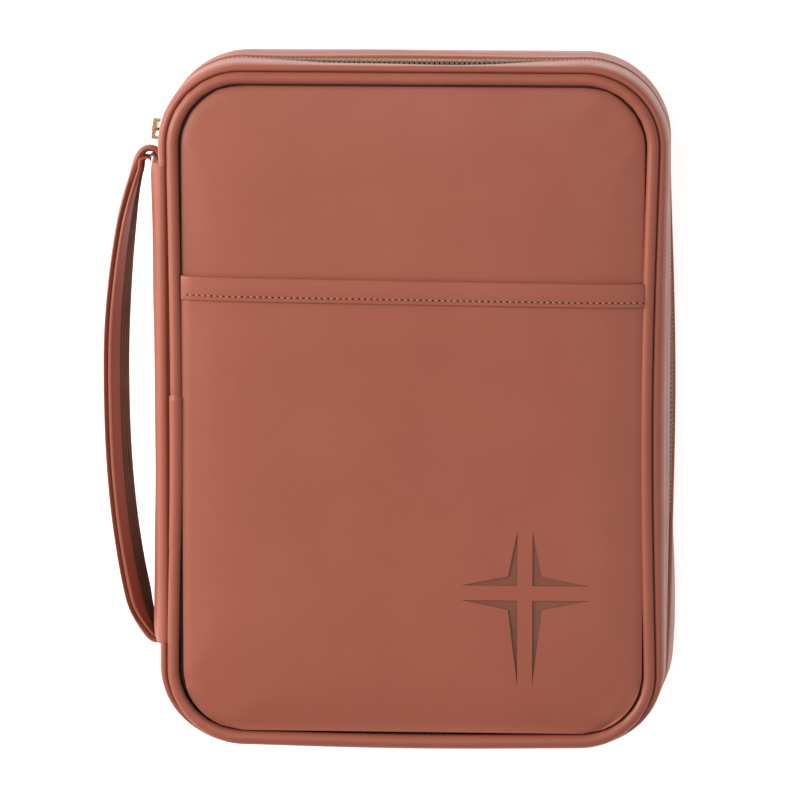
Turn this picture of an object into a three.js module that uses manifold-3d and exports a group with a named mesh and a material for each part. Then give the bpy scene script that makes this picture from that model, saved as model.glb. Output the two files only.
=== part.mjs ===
// A padded zip-around bible cover with its bible inside, lying on its back.
//
// Millimetres. +Z runs through the closed cover from the back panel to the front panel, +Y to its head and +X to its
// fore edge, so the spine is at -X. The origin is the middle of the back panel's outer face, which the cover lies on.
// The back half is the fixed half. "Depth" is measured from a half's own outer face towards the middle of the cover.

import * as THREE from 'three';
import { mergeVertices } from 'three/addons/utils/BufferGeometryUtils.js';
import Module from 'manifold-3d';

const wasm = await Module();
wasm.setup();

// ---------------------------------------------------------------- driving sizes

const faceWidth = 186; // X, over the piping
const faceHeight = 259; // Y, over the piping
const coverThickness = 52; // Z, closed
const cornerRadius = 29; // of the piping's outer edge
const gap = 0.3; // left between pieces that touch

const pipingDiameter = 5;
const pipingDepth = 1.1; // from the half's face down to the top of the piping
const spliceY = -3; // where the piping's two ends meet, on the spine side
const spliceGap = 0.4;

const skinThickness = 1.2;
const pocketThickness = 1.3;
const foamThickness = 3;
const boardThickness = 1.8;
const liningThickness = 0.8;
const paddingInset = 8; // edges of the foam and the boards, in from the face's edge
const liningInset = 4;

const pocketMouthDrop = 78.7; // from the face's head edge down to the pocket's mouth
const hemHeight = 9.3;
const hemProud = 0.3; // the folded hem stands this much above the pocket panel

const crossForeMargin = 50; // from the face's fore edge to the cross's middle
const crossFootMargin = 60.5; // from the face's foot to the cross's middle
const crossBar = 5.7; // width of the plain cross left between the four pressed wedges
const crossArms = { side: 24.2, head: 24, foot: 36 };
const crossWedge = 3.6; // how far a wedge stands out at its inner corner
const crossDepth = 0.5;

const gussetProud = 4; // the gusset's outer face stands this far beyond the piping
const gussetWall = 1.3;
const zipperProud = 2; // the zipper's middle line, beyond the piping
const zipperLane = 10; // between the front and the back gusset
const tapeThickness = 0.7;
const tapeWidth = 9.4;
const teethWidth = 1.5; // across the tape
const teethHeight = 1.7; // of one row
const teethSlot = 1.2; // between the closed rows, where the slider's web runs
const stopLength = 2;

const spineEndMargin = 8.5; // the spine panel's ends stop this far short of the corners' arcs
const spineBulge = 3.5;
const spineSkin = 1.4;
const spineBoardThickness = 1.6;
const spineLiningThickness = 0.6;
const spineEndGap = 1; // between the spine panel's ends and the gussets' ends

const handleReach = 16.4; // from the spine panel's crown to the middle of the strap
const handleThickness = 5;
const handlePly = 1.6;
const handleWidth = 18;
const handleRootWidth = 6;
const handleGather = 0.7; // share of the strap's half length where it starts to narrow towards the roots
const handlePivotReach = 3.7; // from the spine panel's crown to the line that the handle swings about
const rootThickness = 1.5;
const rootWidth = 8;
const rootLength = 12; // of the root sewn in under the spine panel

const sliderAngle = 6.5; // degrees round the head corner, from the spine side
const sliderSpan = 21.6; // degrees that the slider covers
const sliderPlate = 1.2;
const sliderClearance = 0.3; // to the teeth, on each side
const sliderBelow = 2.6; // the plates reach this far over the back row
const sliderAbove = 1.2; // and this far over the front row, so that the front half lifts out between them
const sliderWeb = 0.6;
const bridgeBar = 1.4;
const bridgeHeight = 1.6;
const bridgeLength = 8;
const bridgeRise = 1.8; // clear height under the bar
const ringWall = 0.9;
const ringClearance = 0.15; // round the bar's corners
const ringThickness = 1.2;
const pullLength = 14;
const pullWidth = 5;
const pullThickness = 1.2;

const sleeveSheet = 0.6;
const sleeveRim = 1.2;
const sleeveMouthX = -20; // the sleeves open towards the spine from here
const bibleBoard = 2.4;
const bibleEndpaper = 0.3;
const bibleSquare = 2; // the covers' overhang beyond the pages
const bibleHeadMargin = 12; // from the face's edge to the bible's covers, at head and foot
const bibleForeMargin = 15;
const bibleSpineMargin = 9;
const pageRound = 2.5; // swell of the pages' back, and hollow of their fore edge
const bibleSpineThickness = 1.8;
const bibleJoint = 3.3; // groove between the bible's spine and its front cover
const ribbonWidth = 6;
const ribbonThickness = 0.3;
const ribbonTail = 7;

// ---------------------------------------------------------------- sizes that follow from them

const halfThickness = coverThickness / 2;
const pocketMouthY = faceHeight / 2 - pocketMouthDrop;
const crossCentre = new THREE.Vector2(faceWidth / 2 - crossForeMargin, crossFootMargin - faceHeight / 2);
const cornerX = faceWidth / 2 - cornerRadius;
const cornerY = faceHeight / 2 - cornerRadius;

const pipingBottom = pipingDepth + pipingDiameter;
const panelInset = pipingDiameter + gap;
const foamBottom = skinThickness + gap + foamThickness;
const boardBottom = foamBottom + gap + boardThickness;
const liningTop = boardBottom + gap;
const liningBottom = liningTop + liningThickness;
const gussetTop = pipingBottom + gap;
const gussetBottom = halfThickness - zipperLane / 2;
const teethBottom = halfThickness - teethSlot / 2;
const teethTop = teethBottom - teethHeight;
const tapeBottom = teethTop - gap;

const spineLength = 2 * (cornerY - spineEndMargin);
const spineX = -faceWidth / 2 - gussetProud; // the spine panel's edges, which both folds turn about
const spineCrownX = spineX - spineBulge;
const spineHalf = halfThickness - gussetTop;
const sideEndY = spineLength / 2 + spineEndGap;
const teethEndY = sideEndY + stopLength + gap;
const zipperRadius = cornerRadius + zipperProud;

const bibleSpineX = -faceWidth / 2 + bibleSpineMargin;
const bibleForeX = faceWidth / 2 - bibleForeMargin;
const bibleHalfHeight = faceHeight / 2 - bibleHeadMargin;
const pagesHalfHeight = bibleHalfHeight - bibleSquare;
const backCoverLow = liningBottom + 2 * gap;
const backCoverHigh = backCoverLow + bibleBoard;
const backSleeveHigh = backCoverHigh + gap + sleeveSheet;
const frontSleeveDepth = liningBottom + gap + 2 * gap + 2 * sleeveSheet;
const frontCoverHigh = coverThickness - frontSleeveDepth - gap;
const frontCoverLow = frontCoverHigh - bibleBoard;
const pagesLow = backSleeveHigh + gap;
const pagesHigh = frontCoverLow - gap;
const pagesMiddle = (pagesLow + pagesHigh) / 2;

// ---------------------------------------------------------------- materials

const finishes = {
  leatherette: { color: 0xa55f50, roughness: 0.55, metalness: 0 },
  handleLining: { color: 0x5a4137, roughness: 0.7, metalness: 0 },
  foam: { color: 0xd8d2c4, roughness: 0.95, metalness: 0 },
  board: { color: 0xa89a80, roughness: 0.9, metalness: 0 },
  lining: { color: 0x6b4638, roughness: 0.85, metalness: 0 },
  tape: { color: 0x8c5443, roughness: 0.9, metalness: 0 },
  teeth: { color: 0x4a3026, roughness: 0.5, metalness: 0 },
  brass: { color: 0xcdb583, roughness: 0.3, metalness: 0.9 },
  bibleLeather: { color: 0x2c1d18, roughness: 0.5, metalness: 0 },
  paper: { color: 0xeee6d3, roughness: 0.85, metalness: 0 },
  ribbon: { color: 0x7d1f24, roughness: 0.6, metalness: 0 },
};

const bibleCover = new THREE.Group();

function addPiece(name, finish, geometry, parent = bibleCover) {
  const mesh = new THREE.Mesh(geometry, new THREE.MeshStandardMaterial(finishes[finish]));
  mesh.name = name;
  parent.add(mesh);
  return mesh;
}

// ---------------------------------------------------------------- outlines and solids

const arcSteps = 8;

/** The rounded rectangle of a cover's face, drawn in by inset. */
function faceOutline(inset) {
  const radius = cornerRadius - inset;
  const outline = new THREE.Shape();
  outline.absarc(cornerX, -cornerY, radius, -Math.PI / 2, 0);
  outline.absarc(cornerX, cornerY, radius, 0, Math.PI / 2);
  outline.absarc(-cornerX, cornerY, radius, Math.PI / 2, Math.PI);
  outline.absarc(-cornerX, -cornerY, radius, Math.PI, 1.5 * Math.PI);
  return outline;
}

/** A band round the foot, the fore edge and the head, open along the spine between -endY and endY. */
function sideBand(outerInset, innerInset, endY) {
  const band = new THREE.Shape();
  const outer = cornerRadius - outerInset;
  const inner = cornerRadius - innerInset;
  band.moveTo(-cornerX - outer, -endY);
  band.lineTo(-cornerX - outer, -cornerY);
  band.absarc(-cornerX, -cornerY, outer, Math.PI, 1.5 * Math.PI);
  band.absarc(cornerX, -cornerY, outer, -Math.PI / 2, 0);
  band.absarc(cornerX, cornerY, outer, 0, Math.PI / 2);
  band.absarc(-cornerX, cornerY, outer, Math.PI / 2, Math.PI);
  band.lineTo(-cornerX - outer, endY);
  band.lineTo(-cornerX - inner, endY);
  band.absarc(-cornerX, cornerY, inner, Math.PI, Math.PI / 2, true);
  band.absarc(cornerX, cornerY, inner, Math.PI / 2, 0, true);
  band.absarc(cornerX, -cornerY, inner, 0, -Math.PI / 2, true);
  band.absarc(-cornerX, -cornerY, inner, 1.5 * Math.PI, Math.PI, true);
  band.lineTo(-cornerX - inner, -endY);
  return band;
}

/** An XY shape raised from low to high. */
function plate(shape, low, high) {
  const options = { depth: high - low, bevelEnabled: false, curveSegments: arcSteps };
  return new THREE.ExtrudeGeometry(shape, options).translate(0, 0, low);
}

function rectangle(lowX, highX, lowY, highY) {
  const corners = [[lowX, lowY], [highX, lowY], [highX, highY], [lowX, highY]];
  return new THREE.Shape(corners.map(([x, y]) => new THREE.Vector2(x, y)));
}

/** The same two numbers on the +Y or the -Y side, lower first. */
const onSide = (sideSign, near, far) => [sideSign * near, sideSign * far].sort((a, b) => a - b);

const axisX = new THREE.Vector3(1, 0, 0);
const axisY = new THREE.Vector3(0, 1, 0);
const axisZ = new THREE.Vector3(0, 0, 1);

/** A shape drawn with Z across and X up, run along Y. */
function alongY(shape, lowY, highY) {
  const turn = new THREE.Matrix4().makeBasis(axisZ, axisX, axisY);
  return plate(shape, lowY, highY).applyMatrix4(turn);
}

/** A shape drawn with Y across and Z up, run along X. */
function alongX(shape, lowX, highX) {
  const turn = new THREE.Matrix4().makeBasis(axisY, axisZ, axisX);
  return plate(shape, lowX, highX).applyMatrix4(turn);
}

function solidOf(geometry) {
  const bare = geometry.clone();
  bare.deleteAttribute('normal');
  bare.deleteAttribute('uv');
  const merged = mergeVertices(bare, 1e-4);
  const vertProperties = new Float32Array(merged.attributes.position.array);
  const triVerts = new Uint32Array(merged.index.array);
  return new wasm.Manifold(new wasm.Mesh({ numProp: 3, vertProperties, triVerts }));
}

function geometryOf(solid) {
  const mesh = solid.getMesh();
  const geometry = new THREE.BufferGeometry();
  geometry.setAttribute('position', new THREE.BufferAttribute(mesh.vertProperties, 3));
  geometry.setIndex(new THREE.BufferAttribute(mesh.triVerts, 1));
  geometry.computeVertexNormals();
  return geometry;
}

const join = (first, second) => geometryOf(solidOf(first).add(solidOf(second)));
const cut = (body, tool) => geometryOf(solidOf(body).subtract(solidOf(tool)));
const common = (first, second) => geometryOf(solidOf(first).intersect(solidOf(second)));

/** The two halves of the cover: depths are turned into heights. */
const halves = {
  back: (shape, near, far) => plate(shape, near, far),
  front: (shape, near, far) => plate(shape, coverThickness - far, coverThickness - near),
};
const heightOf = {
  back: (depth) => depth,
  front: (depth) => coverThickness - depth,
};

// ---------------------------------------------------------------- piping

/** The piping's centre line, all the way round a face from one side of its splice to the other. */
class PipingLine extends THREE.Curve {
  constructor(height) {
    super();
    this.height = height;
    const radius = cornerRadius - pipingDiameter / 2;
    this.line = new THREE.Path();
    this.line.moveTo(-cornerX - radius, spliceY - spliceGap / 2);
    this.line.lineTo(-cornerX - radius, -cornerY);
    this.line.absarc(-cornerX, -cornerY, radius, Math.PI, 1.5 * Math.PI);
    this.line.absarc(cornerX, -cornerY, radius, -Math.PI / 2, 0);
    this.line.absarc(cornerX, cornerY, radius, 0, Math.PI / 2);
    this.line.absarc(-cornerX, cornerY, radius, Math.PI / 2, Math.PI);
    this.line.lineTo(-cornerX - radius, spliceY + spliceGap / 2);
  }

  /** Every stretch and corner takes the same share, so that the corners are stepped as the panels' corners are. */
  getPoint(share, target = new THREE.Vector3()) {
    const place = share * this.line.curves.length;
    const index = Math.min(Math.floor(place), this.line.curves.length - 1);
    const point = this.line.curves[index].getPoint(place - index);
    return target.set(point.x, point.y, this.height);
  }

  getUtoTmapping(share) {
    return share;
  }
}

function piping(height) {
  const section = new THREE.Shape().absarc(0, 0, pipingDiameter / 2, 0, 2 * Math.PI);
  const extrudePath = new PipingLine(height);
  const steps = arcSteps * extrudePath.line.curves.length;
  return new THREE.ExtrudeGeometry(section, { extrudePath, steps, curveSegments: 5, bevelEnabled: false });
}

// ---------------------------------------------------------------- sleeves

/** A sleeve sewn to the lining at head, fore edge and foot, with its mouth towards the spine. */
function sleeve(half, top, bottom) {
  const foreX = bibleForeX + 2 * gap + sleeveRim;
  const footY = bibleHalfHeight + 2 * gap + sleeveRim;
  const sheet = halves[half](rectangle(sleeveMouthX, foreX, -footY, footY), bottom - sleeveSheet, bottom);
  const whole = halves[half](rectangle(sleeveMouthX, foreX, -footY, footY), top, bottom - sleeveSheet);
  const inside = rectangle(sleeveMouthX - 1, foreX - sleeveRim, sleeveRim - footY, footY - sleeveRim);
  const rim = cut(whole, halves[half](inside, top - 1, bottom));
  return join(sheet, rim);
}

// ---------------------------------------------------------------- the two halves

for (const half of ['back', 'front']) {
  const raise = halves[half];
  const skinTop = half === 'front' ? pocketThickness + gap : 0;
  addPiece(`${half}_outer_panel`, 'leatherette', raise(faceOutline(panelInset), skinTop, skinTop + skinThickness));
  const foamTop = skinTop + skinThickness + gap;
  addPiece(`${half}_foam_pad`, 'foam', raise(faceOutline(paddingInset), foamTop, foamBottom));
  addPiece(`${half}_board`, 'board', raise(faceOutline(paddingInset), foamBottom + gap, boardBottom));
  addPiece(`${half}_lining`, 'lining', raise(faceOutline(liningInset), liningTop, liningBottom));
  addPiece(`${half}_piping`, 'leatherette', piping(heightOf[half](pipingDepth + pipingDiameter / 2)));

  const gusset = sideBand(-gussetProud, gussetWall - gussetProud, sideEndY);
  addPiece(`${half}_gusset`, 'leatherette', raise(gusset, gussetTop, gussetBottom));
  const tape = sideBand(-zipperProud - tapeThickness / 2, tapeThickness / 2 - zipperProud, sideEndY);
  addPiece(`zipper_tape_${half}`, 'tape', raise(tape, tapeBottom - tapeWidth, tapeBottom));
  const teeth = sideBand(-zipperProud - teethWidth / 2, teethWidth / 2 - zipperProud, teethEndY);
  addPiece(`zipper_teeth_${half}`, 'teeth', raise(teeth, teethTop, teethBottom));
}

addPiece('back_sleeve', 'lining', sleeve('back', liningBottom + gap, backSleeveHigh));
addPiece('front_sleeve', 'lining', sleeve('front', liningBottom + gap, frontSleeveDepth));

// ---------------------------------------------------------------- pocket with its pressed cross

/** One pressed wedge: it fills the corner between two arms, and tapers to a point along each. */
function crossWedgeShape(sideSign, armSign, arm) {
  const bar = crossBar / 2;
  const points = [[bar, bar], [crossArms.side, bar], [bar + crossWedge, bar + crossWedge], [bar, arm]];
  const placed = points.map(([x, y]) => new THREE.Vector2(sideSign * x, armSign * y).add(crossCentre));
  return new THREE.Shape(placed);
}

const hemFootY = pocketMouthY - hemHeight;
const pocketBelow = rectangle(-faceWidth, faceWidth, -faceHeight, hemFootY - gap);
const pocketLow = coverThickness - pocketThickness;
const pocketHigh = coverThickness - hemProud;
const pocketBlank = plate(faceOutline(panelInset), pocketLow, pocketHigh);
let pocketPanel = common(pocketBlank, plate(pocketBelow, pocketLow - 1, pocketHigh + 1));
for (const sideSign of [-1, 1]) {
  for (const [armSign, arm] of [[1, crossArms.head], [-1, crossArms.foot]]) {
    const wedge = plate(crossWedgeShape(sideSign, armSign, arm), pocketHigh - crossDepth, pocketHigh + 1);
    pocketPanel = cut(pocketPanel, wedge);
  }
}
addPiece('pocket_panel', 'leatherette', pocketPanel);
const hemX = faceWidth / 2 - panelInset;
const hem = rectangle(-hemX, hemX, hemFootY, pocketMouthY);
addPiece('pocket_hem', 'leatherette', plate(hem, pocketLow, coverThickness));

// ---------------------------------------------------------------- zipper stops, slider and pull

for (const [name, sideSign] of [['upper', 1], ['lower', -1]]) {
  const ends = onSide(sideSign, sideEndY, sideEndY + stopLength);
  const middle = -faceWidth / 2 - zipperProud;
  const stop = plate(rectangle(middle - teethWidth / 2, middle + teethWidth / 2, ...ends), teethTop, teethBottom);
  addPiece(`zipper_stop_${name}`, 'brass', stop);
}

// The slider is drawn about the middle of the head corner, pointing to the spine side.
const sliderGroup = new THREE.Group();
sliderGroup.position.set(-cornerX, cornerY, halfThickness);
sliderGroup.rotation.z = -THREE.MathUtils.degToRad(sliderAngle);
bibleCover.add(sliderGroup);

/** A stretch of ring about the corner's middle, centred on the spine side. */
function cornerArc(inner, outer, degrees, low, high) {
  const half = THREE.MathUtils.degToRad(degrees) / 2;
  const arc = new THREE.Shape();
  arc.absarc(0, 0, outer, Math.PI - half, Math.PI + half);
  arc.absarc(0, 0, inner, Math.PI + half, Math.PI - half, true);
  return plate(arc, low, high);
}

const laneHalf = teethWidth / 2 + sliderClearance;
const plateOuter = zipperRadius + laneHalf + sliderPlate;
const outerPlate = cornerArc(zipperRadius + laneHalf, plateOuter, sliderSpan, -sliderBelow, sliderAbove);
const innerPlate = cornerArc(
  zipperRadius - laneHalf - sliderPlate, zipperRadius - laneHalf, sliderSpan, -sliderBelow, sliderAbove,
);
const webSpan = sliderSpan * 0.6;
const web = cornerArc(
  zipperRadius - laneHalf - sliderPlate / 2, zipperRadius + laneHalf + sliderPlate / 2, webSpan,
  -sliderWeb / 2, sliderWeb / 2,
);
addPiece('slider_body', 'brass', join(join(outerPlate, innerPlate), web), sliderGroup);

const bridgeFoot = plateOuter + gap;
const barInner = plateOuter + bridgeRise;
const bridgeOutline = rectangle(-barInner - bridgeBar, -bridgeFoot, -bridgeLength / 2, bridgeLength / 2);
const postWidth = 1.2;
const underBar = rectangle(-barInner, 0, postWidth - bridgeLength / 2, bridgeLength / 2 - postWidth);
const bridge = cut(
  plate(bridgeOutline, -bridgeHeight / 2, bridgeHeight / 2),
  plate(underBar, -bridgeHeight, bridgeHeight),
);
addPiece('slider_bridge', 'brass', bridge, sliderGroup);

// The ring is threaded on the bridge's bar, and the tab hangs from it.
const barMiddle = barInner + bridgeBar / 2;
const ringInner = Math.hypot(bridgeBar, bridgeHeight) / 2 + ringClearance;
const ringOuter = ringInner + ringWall;
const ringShape = new THREE.Shape().absarc(0, -barMiddle, ringOuter, 0, 2 * Math.PI);
ringShape.holes.push(new THREE.Path().absarc(0, -barMiddle, ringInner, 0, 2 * Math.PI, true));
addPiece('pull_ring', 'brass', alongY(ringShape, -ringThickness / 2, ringThickness / 2), sliderGroup);
const tabTop = -ringOuter - gap;
const tab = rectangle(-barMiddle - pullThickness / 2, pullThickness / 2 - barMiddle, -pullWidth / 2, pullWidth / 2);
addPiece('pull_tab', 'brass', plate(tab, tabTop - pullLength, tabTop), sliderGroup);

// ---------------------------------------------------------------- spine

/** The spine panel's outer face at a height from its middle. */
function spineFaceX(fromMiddle) {
  return spineX - spineBulge * (1 - (fromMiddle / spineHalf) ** 2);
}

function spineSection(steps = 12) {
  const outer = [];
  const inner = [];
  for (let step = 0; step <= steps; step += 1) {
    const fromMiddle = spineHalf * (2 * step / steps - 1);
    outer.push(new THREE.Vector2(halfThickness + fromMiddle, spineFaceX(fromMiddle)));
    inner.push(new THREE.Vector2(halfThickness + fromMiddle, spineFaceX(fromMiddle) + spineSkin));
  }
  return new THREE.Shape([...outer, ...inner.reverse()]);
}

const spineInset = 2.6; // the spine's board and lining, in from the panel's edges
const spineInnerHalf = spineHalf - spineInset;
const spineBoardX = spineX + spineSkin + gap;
const spineLiningX = spineBoardX + spineBoardThickness + gap;
const innerY = spineLength / 2 - spineInset;
addPiece('spine_outer_panel', 'leatherette', alongY(spineSection(), -spineLength / 2, spineLength / 2));

function spineLayer(lowX, highX) {
  const low = halfThickness - spineInnerHalf;
  return plate(rectangle(lowX, highX, -innerY, innerY), low, low + 2 * spineInnerHalf);
}
addPiece('spine_board', 'board', spineLayer(spineBoardX, spineBoardX + spineBoardThickness));
addPiece('spine_lining', 'lining', spineLayer(spineLiningX, spineLiningX + spineLiningThickness));

// ---------------------------------------------------------------- handle and its roots

const handlePivotX = spineCrownX - handlePivotReach;
const rootInnerX = spineCrownX + spineSkin + gap;
const handleEndY = spineLength / 2 + spineEndGap + 2;

/** A root comes out from under the spine panel's end and turns outwards over the handle's end. */
function handleRoot(sideSign) {
  const outerY = handleEndY + gap + rootThickness;
  const along = onSide(sideSign, spineLength / 2 - rootLength, outerY);
  const across = onSide(sideSign, handleEndY + gap, outerY);
  const low = halfThickness - rootWidth / 2;
  const sewn = plate(rectangle(rootInnerX, rootInnerX + rootThickness, ...along), low, low + rootWidth);
  const turned = plate(
    rectangle(handlePivotX - handleThickness / 2, rootInnerX + rootThickness, ...across), low, low + rootWidth,
  );
  return join(sewn, turned);
}
addPiece('handle_root_upper', 'leatherette', handleRoot(1));
addPiece('handle_root_lower', 'leatherette', handleRoot(-1));

// The strap's middle line, from the upper root to the lower: share of the reach beyond the pivot, share of the end.
const handleCourse = [
  [0, 1], [0.32, 0.955], [0.58, 0.82], [0.79, 0.585], [0.92, 0.33], [1, 0.07],
  [1, -0.15], [0.92, -0.4], [0.74, -0.645], [0.47, -0.84], [0.22, -0.94], [0, -1],
];
const strapReach = handleReach - handlePivotReach;
const handleLine = new THREE.SplineCurve(
  handleCourse.map(([out, along]) => new THREE.Vector2(handlePivotX - out * strapReach, along * handleEndY)),
);

/** A ply of the strap, between two distances outwards from its middle line. */
function strapBand(innerOffset, outerOffset, steps = 26) {
  const outer = [];
  const inner = [];
  for (let step = 0; step <= steps; step += 1) {
    const point = handleLine.getPointAt(step / steps);
    const tangent = handleLine.getTangentAt(step / steps);
    const outwards = new THREE.Vector2(tangent.y, -tangent.x);
    outer.push(point.clone().addScaledVector(outwards, outerOffset));
    inner.push(point.clone().addScaledVector(outwards, innerOffset));
  }
  return new THREE.Shape([...outer, ...inner.reverse()]);
}

/** The strap's width seen from the spine: full in the middle, gathered towards the roots. */
function strapOutline(inset) {
  const full = handleWidth / 2 - inset;
  const gathered = handleRootWidth / 2 - inset / 2;
  const shoulderY = handleEndY * handleGather;
  const points = [
    [-handleEndY, -gathered], [-shoulderY, -full], [shoulderY, -full], [handleEndY, -gathered],
    [handleEndY, gathered], [shoulderY, full], [-shoulderY, full], [-handleEndY, gathered],
  ];
  return new THREE.Shape(points.map(([y, z]) => new THREE.Vector2(y, halfThickness + z)));
}

function strapPly(innerOffset, outerOffset, inset) {
  const band = plate(strapBand(innerOffset, outerOffset), 0, coverThickness);
  const farX = handlePivotX - handleReach - handleThickness;
  return common(band, alongX(strapOutline(inset), farX, spineX));
}

const plyInner = handleThickness / 2 - handlePly;
const coreInset = 2;
addPiece('handle_outer_ply', 'leatherette', strapPly(plyInner, handleThickness / 2, 0));
addPiece('handle_core', 'foam', strapPly(gap - plyInner, plyInner - gap, coreInset));
addPiece('handle_inner_ply', 'handleLining', strapPly(-handleThickness / 2, -plyInner, 0));

// ---------------------------------------------------------------- the bible

/** The pages' outline between two heights: swollen along the spine and hollow along the fore edge. */
function pageSection(low, high, steps = 6) {
  const half = (pagesHigh - pagesLow) / 2;
  const spine = [];
  const fore = [];
  for (let step = 0; step <= steps; step += 1) {
    const height = low + (high - low) * step / steps;
    const swell = pageRound * (1 - ((height - pagesMiddle) / half) ** 2);
    spine.push(new THREE.Vector2(height, bibleSpineX + pageRound + gap + gap - swell));
    fore.push(new THREE.Vector2(height, bibleForeX - bibleSquare - swell));
  }
  return new THREE.Shape([...spine, ...fore.reverse()]);
}

const ribbonHalf = ribbonThickness / 2 + gap;
const bibleFace = rectangle(bibleSpineX, bibleForeX, -bibleHalfHeight, bibleHalfHeight);
addPiece('bible_back_cover', 'bibleLeather', plate(bibleFace, backCoverLow, backCoverHigh));
const lowerPages = pageSection(pagesLow, pagesMiddle - ribbonHalf);
const upperPages = pageSection(pagesMiddle + ribbonHalf, pagesHigh);
addPiece('page_block_back', 'paper', alongY(lowerPages, -pagesHalfHeight, pagesHalfHeight));
addPiece('page_block_front', 'paper', alongY(upperPages, -pagesHalfHeight, pagesHalfHeight));

const ribbonX = bibleSpineX + 14;
const ribbon = rectangle(ribbonX, ribbonX + ribbonWidth, -bibleHalfHeight - ribbonTail, pagesHalfHeight);
const ribbonLow = pagesMiddle - ribbonThickness / 2;
addPiece('ribbon_marker', 'ribbon', plate(ribbon, ribbonLow, ribbonLow + ribbonThickness));

/** The bible's spine: it follows the pages' swell, and stops short of the front cover so that the cover can turn. */
function bibleSpineSection(steps = 8) {
  const low = backCoverHigh + gap;
  const high = frontCoverLow - bibleJoint;
  const half = (pagesHigh - pagesLow) / 2;
  const outer = [];
  const inner = [];
  for (let step = 0; step <= steps; step += 1) {
    const height = low + (high - low) * step / steps;
    const swell = pageRound * (1 - Math.min(1, ((height - pagesMiddle) / half) ** 2));
    const innerX = bibleSpineX + pageRound - swell - 2 * gap;
    inner.push(new THREE.Vector2(height, innerX));
    outer.push(new THREE.Vector2(height, innerX - bibleSpineThickness));
  }
  return new THREE.Shape([...outer, ...inner.reverse()]);
}
addPiece('bible_spine', 'bibleLeather', alongY(bibleSpineSection(), -bibleHalfHeight, bibleHalfHeight));

const bandWidth = 1.2;
const bandInset = 2; // the headbands, in from the first and last pages
for (const [name, sideSign] of [['upper', 1], ['lower', -1]]) {
  const along = onSide(sideSign, pagesHalfHeight + gap, bibleHalfHeight - gap);
  const bandX = bibleSpineX + pageRound + gap;
  const band = plate(rectangle(bandX, bandX + bandWidth, ...along), pagesLow + bandInset, pagesHigh - bandInset);
  addPiece(`bible_headband_${name}`, 'ribbon', band);
}

addPiece('bible_front_endpaper', 'paper', plate(bibleFace, frontCoverLow, frontCoverLow + bibleEndpaper));
const frontBoardLow = frontCoverLow + bibleEndpaper + gap;
addPiece('bible_front_cover', 'bibleLeather', plate(bibleFace, frontBoardLow, frontCoverHigh));

export default bibleCover;
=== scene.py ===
# %% [markdown]
# # A zip-around bible cover, from a plain frame to the finished piece
#
# The cover is a padded leatherette case that zips shut round a bible. Its frame, hinges and hard parts come
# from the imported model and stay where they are. This script makes what that model leaves plain: the padded
# faces, the piping, the bulging side walls, the woven zipper, the strap, the linings and every finish.
# Lengths are in metres. The cover lies on its back, with its head at +Y, its fore edge at +X and its face
# at +Z.

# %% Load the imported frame
import math

import bmesh
import bpy
from mathutils import Matrix, Vector
from mathutils.bvhtree import BVHTree


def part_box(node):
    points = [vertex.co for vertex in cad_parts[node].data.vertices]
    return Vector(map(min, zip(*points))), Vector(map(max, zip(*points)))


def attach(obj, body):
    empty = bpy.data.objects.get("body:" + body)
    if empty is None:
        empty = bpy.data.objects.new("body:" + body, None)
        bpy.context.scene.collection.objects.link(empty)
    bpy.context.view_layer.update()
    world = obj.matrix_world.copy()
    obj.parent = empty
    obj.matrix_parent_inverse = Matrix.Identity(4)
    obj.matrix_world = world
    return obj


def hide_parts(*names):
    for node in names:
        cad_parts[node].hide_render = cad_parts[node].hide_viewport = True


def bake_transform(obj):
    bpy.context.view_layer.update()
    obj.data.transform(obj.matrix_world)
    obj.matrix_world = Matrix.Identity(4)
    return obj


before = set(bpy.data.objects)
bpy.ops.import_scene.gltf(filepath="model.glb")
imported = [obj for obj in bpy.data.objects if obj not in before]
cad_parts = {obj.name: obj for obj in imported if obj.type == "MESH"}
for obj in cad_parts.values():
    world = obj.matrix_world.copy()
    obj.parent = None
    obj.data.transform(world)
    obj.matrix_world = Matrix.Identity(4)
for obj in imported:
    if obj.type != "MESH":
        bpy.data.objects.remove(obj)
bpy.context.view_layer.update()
scene = bpy.context.scene

# %% [markdown]
# ## Sizes that everything follows
#
# The side walls stand a known distance outside the piping, so the face's size is read from them. The rest
# of the script only asks the frame for boxes, and adds the small sizes that a maker would choose at the
# bench.

# %% Driving sizes
MM = 0.001
GUSSET_PROUD = 4 * MM
CORNER_RADIUS = 29 * MM
PIPING_RADIUS = 2.5 * MM
PANEL_INSET = 5.3 * MM

wall_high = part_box("front_gusset")[1]
HALF_X = wall_high.x - GUSSET_PROUD
HALF_Y = wall_high.y - GUSSET_PROUD
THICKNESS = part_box("pocket_hem")[1].z
MIDDLE = THICKNESS / 2
CORNER_X = HALF_X - CORNER_RADIUS
CORNER_Y = HALF_Y - CORNER_RADIUS
SPINE_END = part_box("spine_outer_panel")[1].y
SIDE_END = SPINE_END + 1 * MM
print(f"face {2000 * HALF_X:.0f} x {2000 * HALF_Y:.0f} mm, {1000 * THICKNESS:.0f} mm thick")

# %% [markdown]
# ## Camera, light and floor
#
# The cover is seen square on from above, from a little nearer its head, so that its top wall and the zipper
# in it just show. A long lens far away keeps the sides straight. One broad light from the spine side models
# the padding, a weaker one from the other side opens the shadows, and a bright floor keeps the ground
# white.

# %% Camera
def add_object(name, data):
    made = bpy.data.objects.new(name, data)
    scene.collection.objects.link(made)
    return made


CAMERA_DISTANCE = 2.2
FRAME_WIDTH = 302.5 * MM
SENSOR = 36.0

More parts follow.
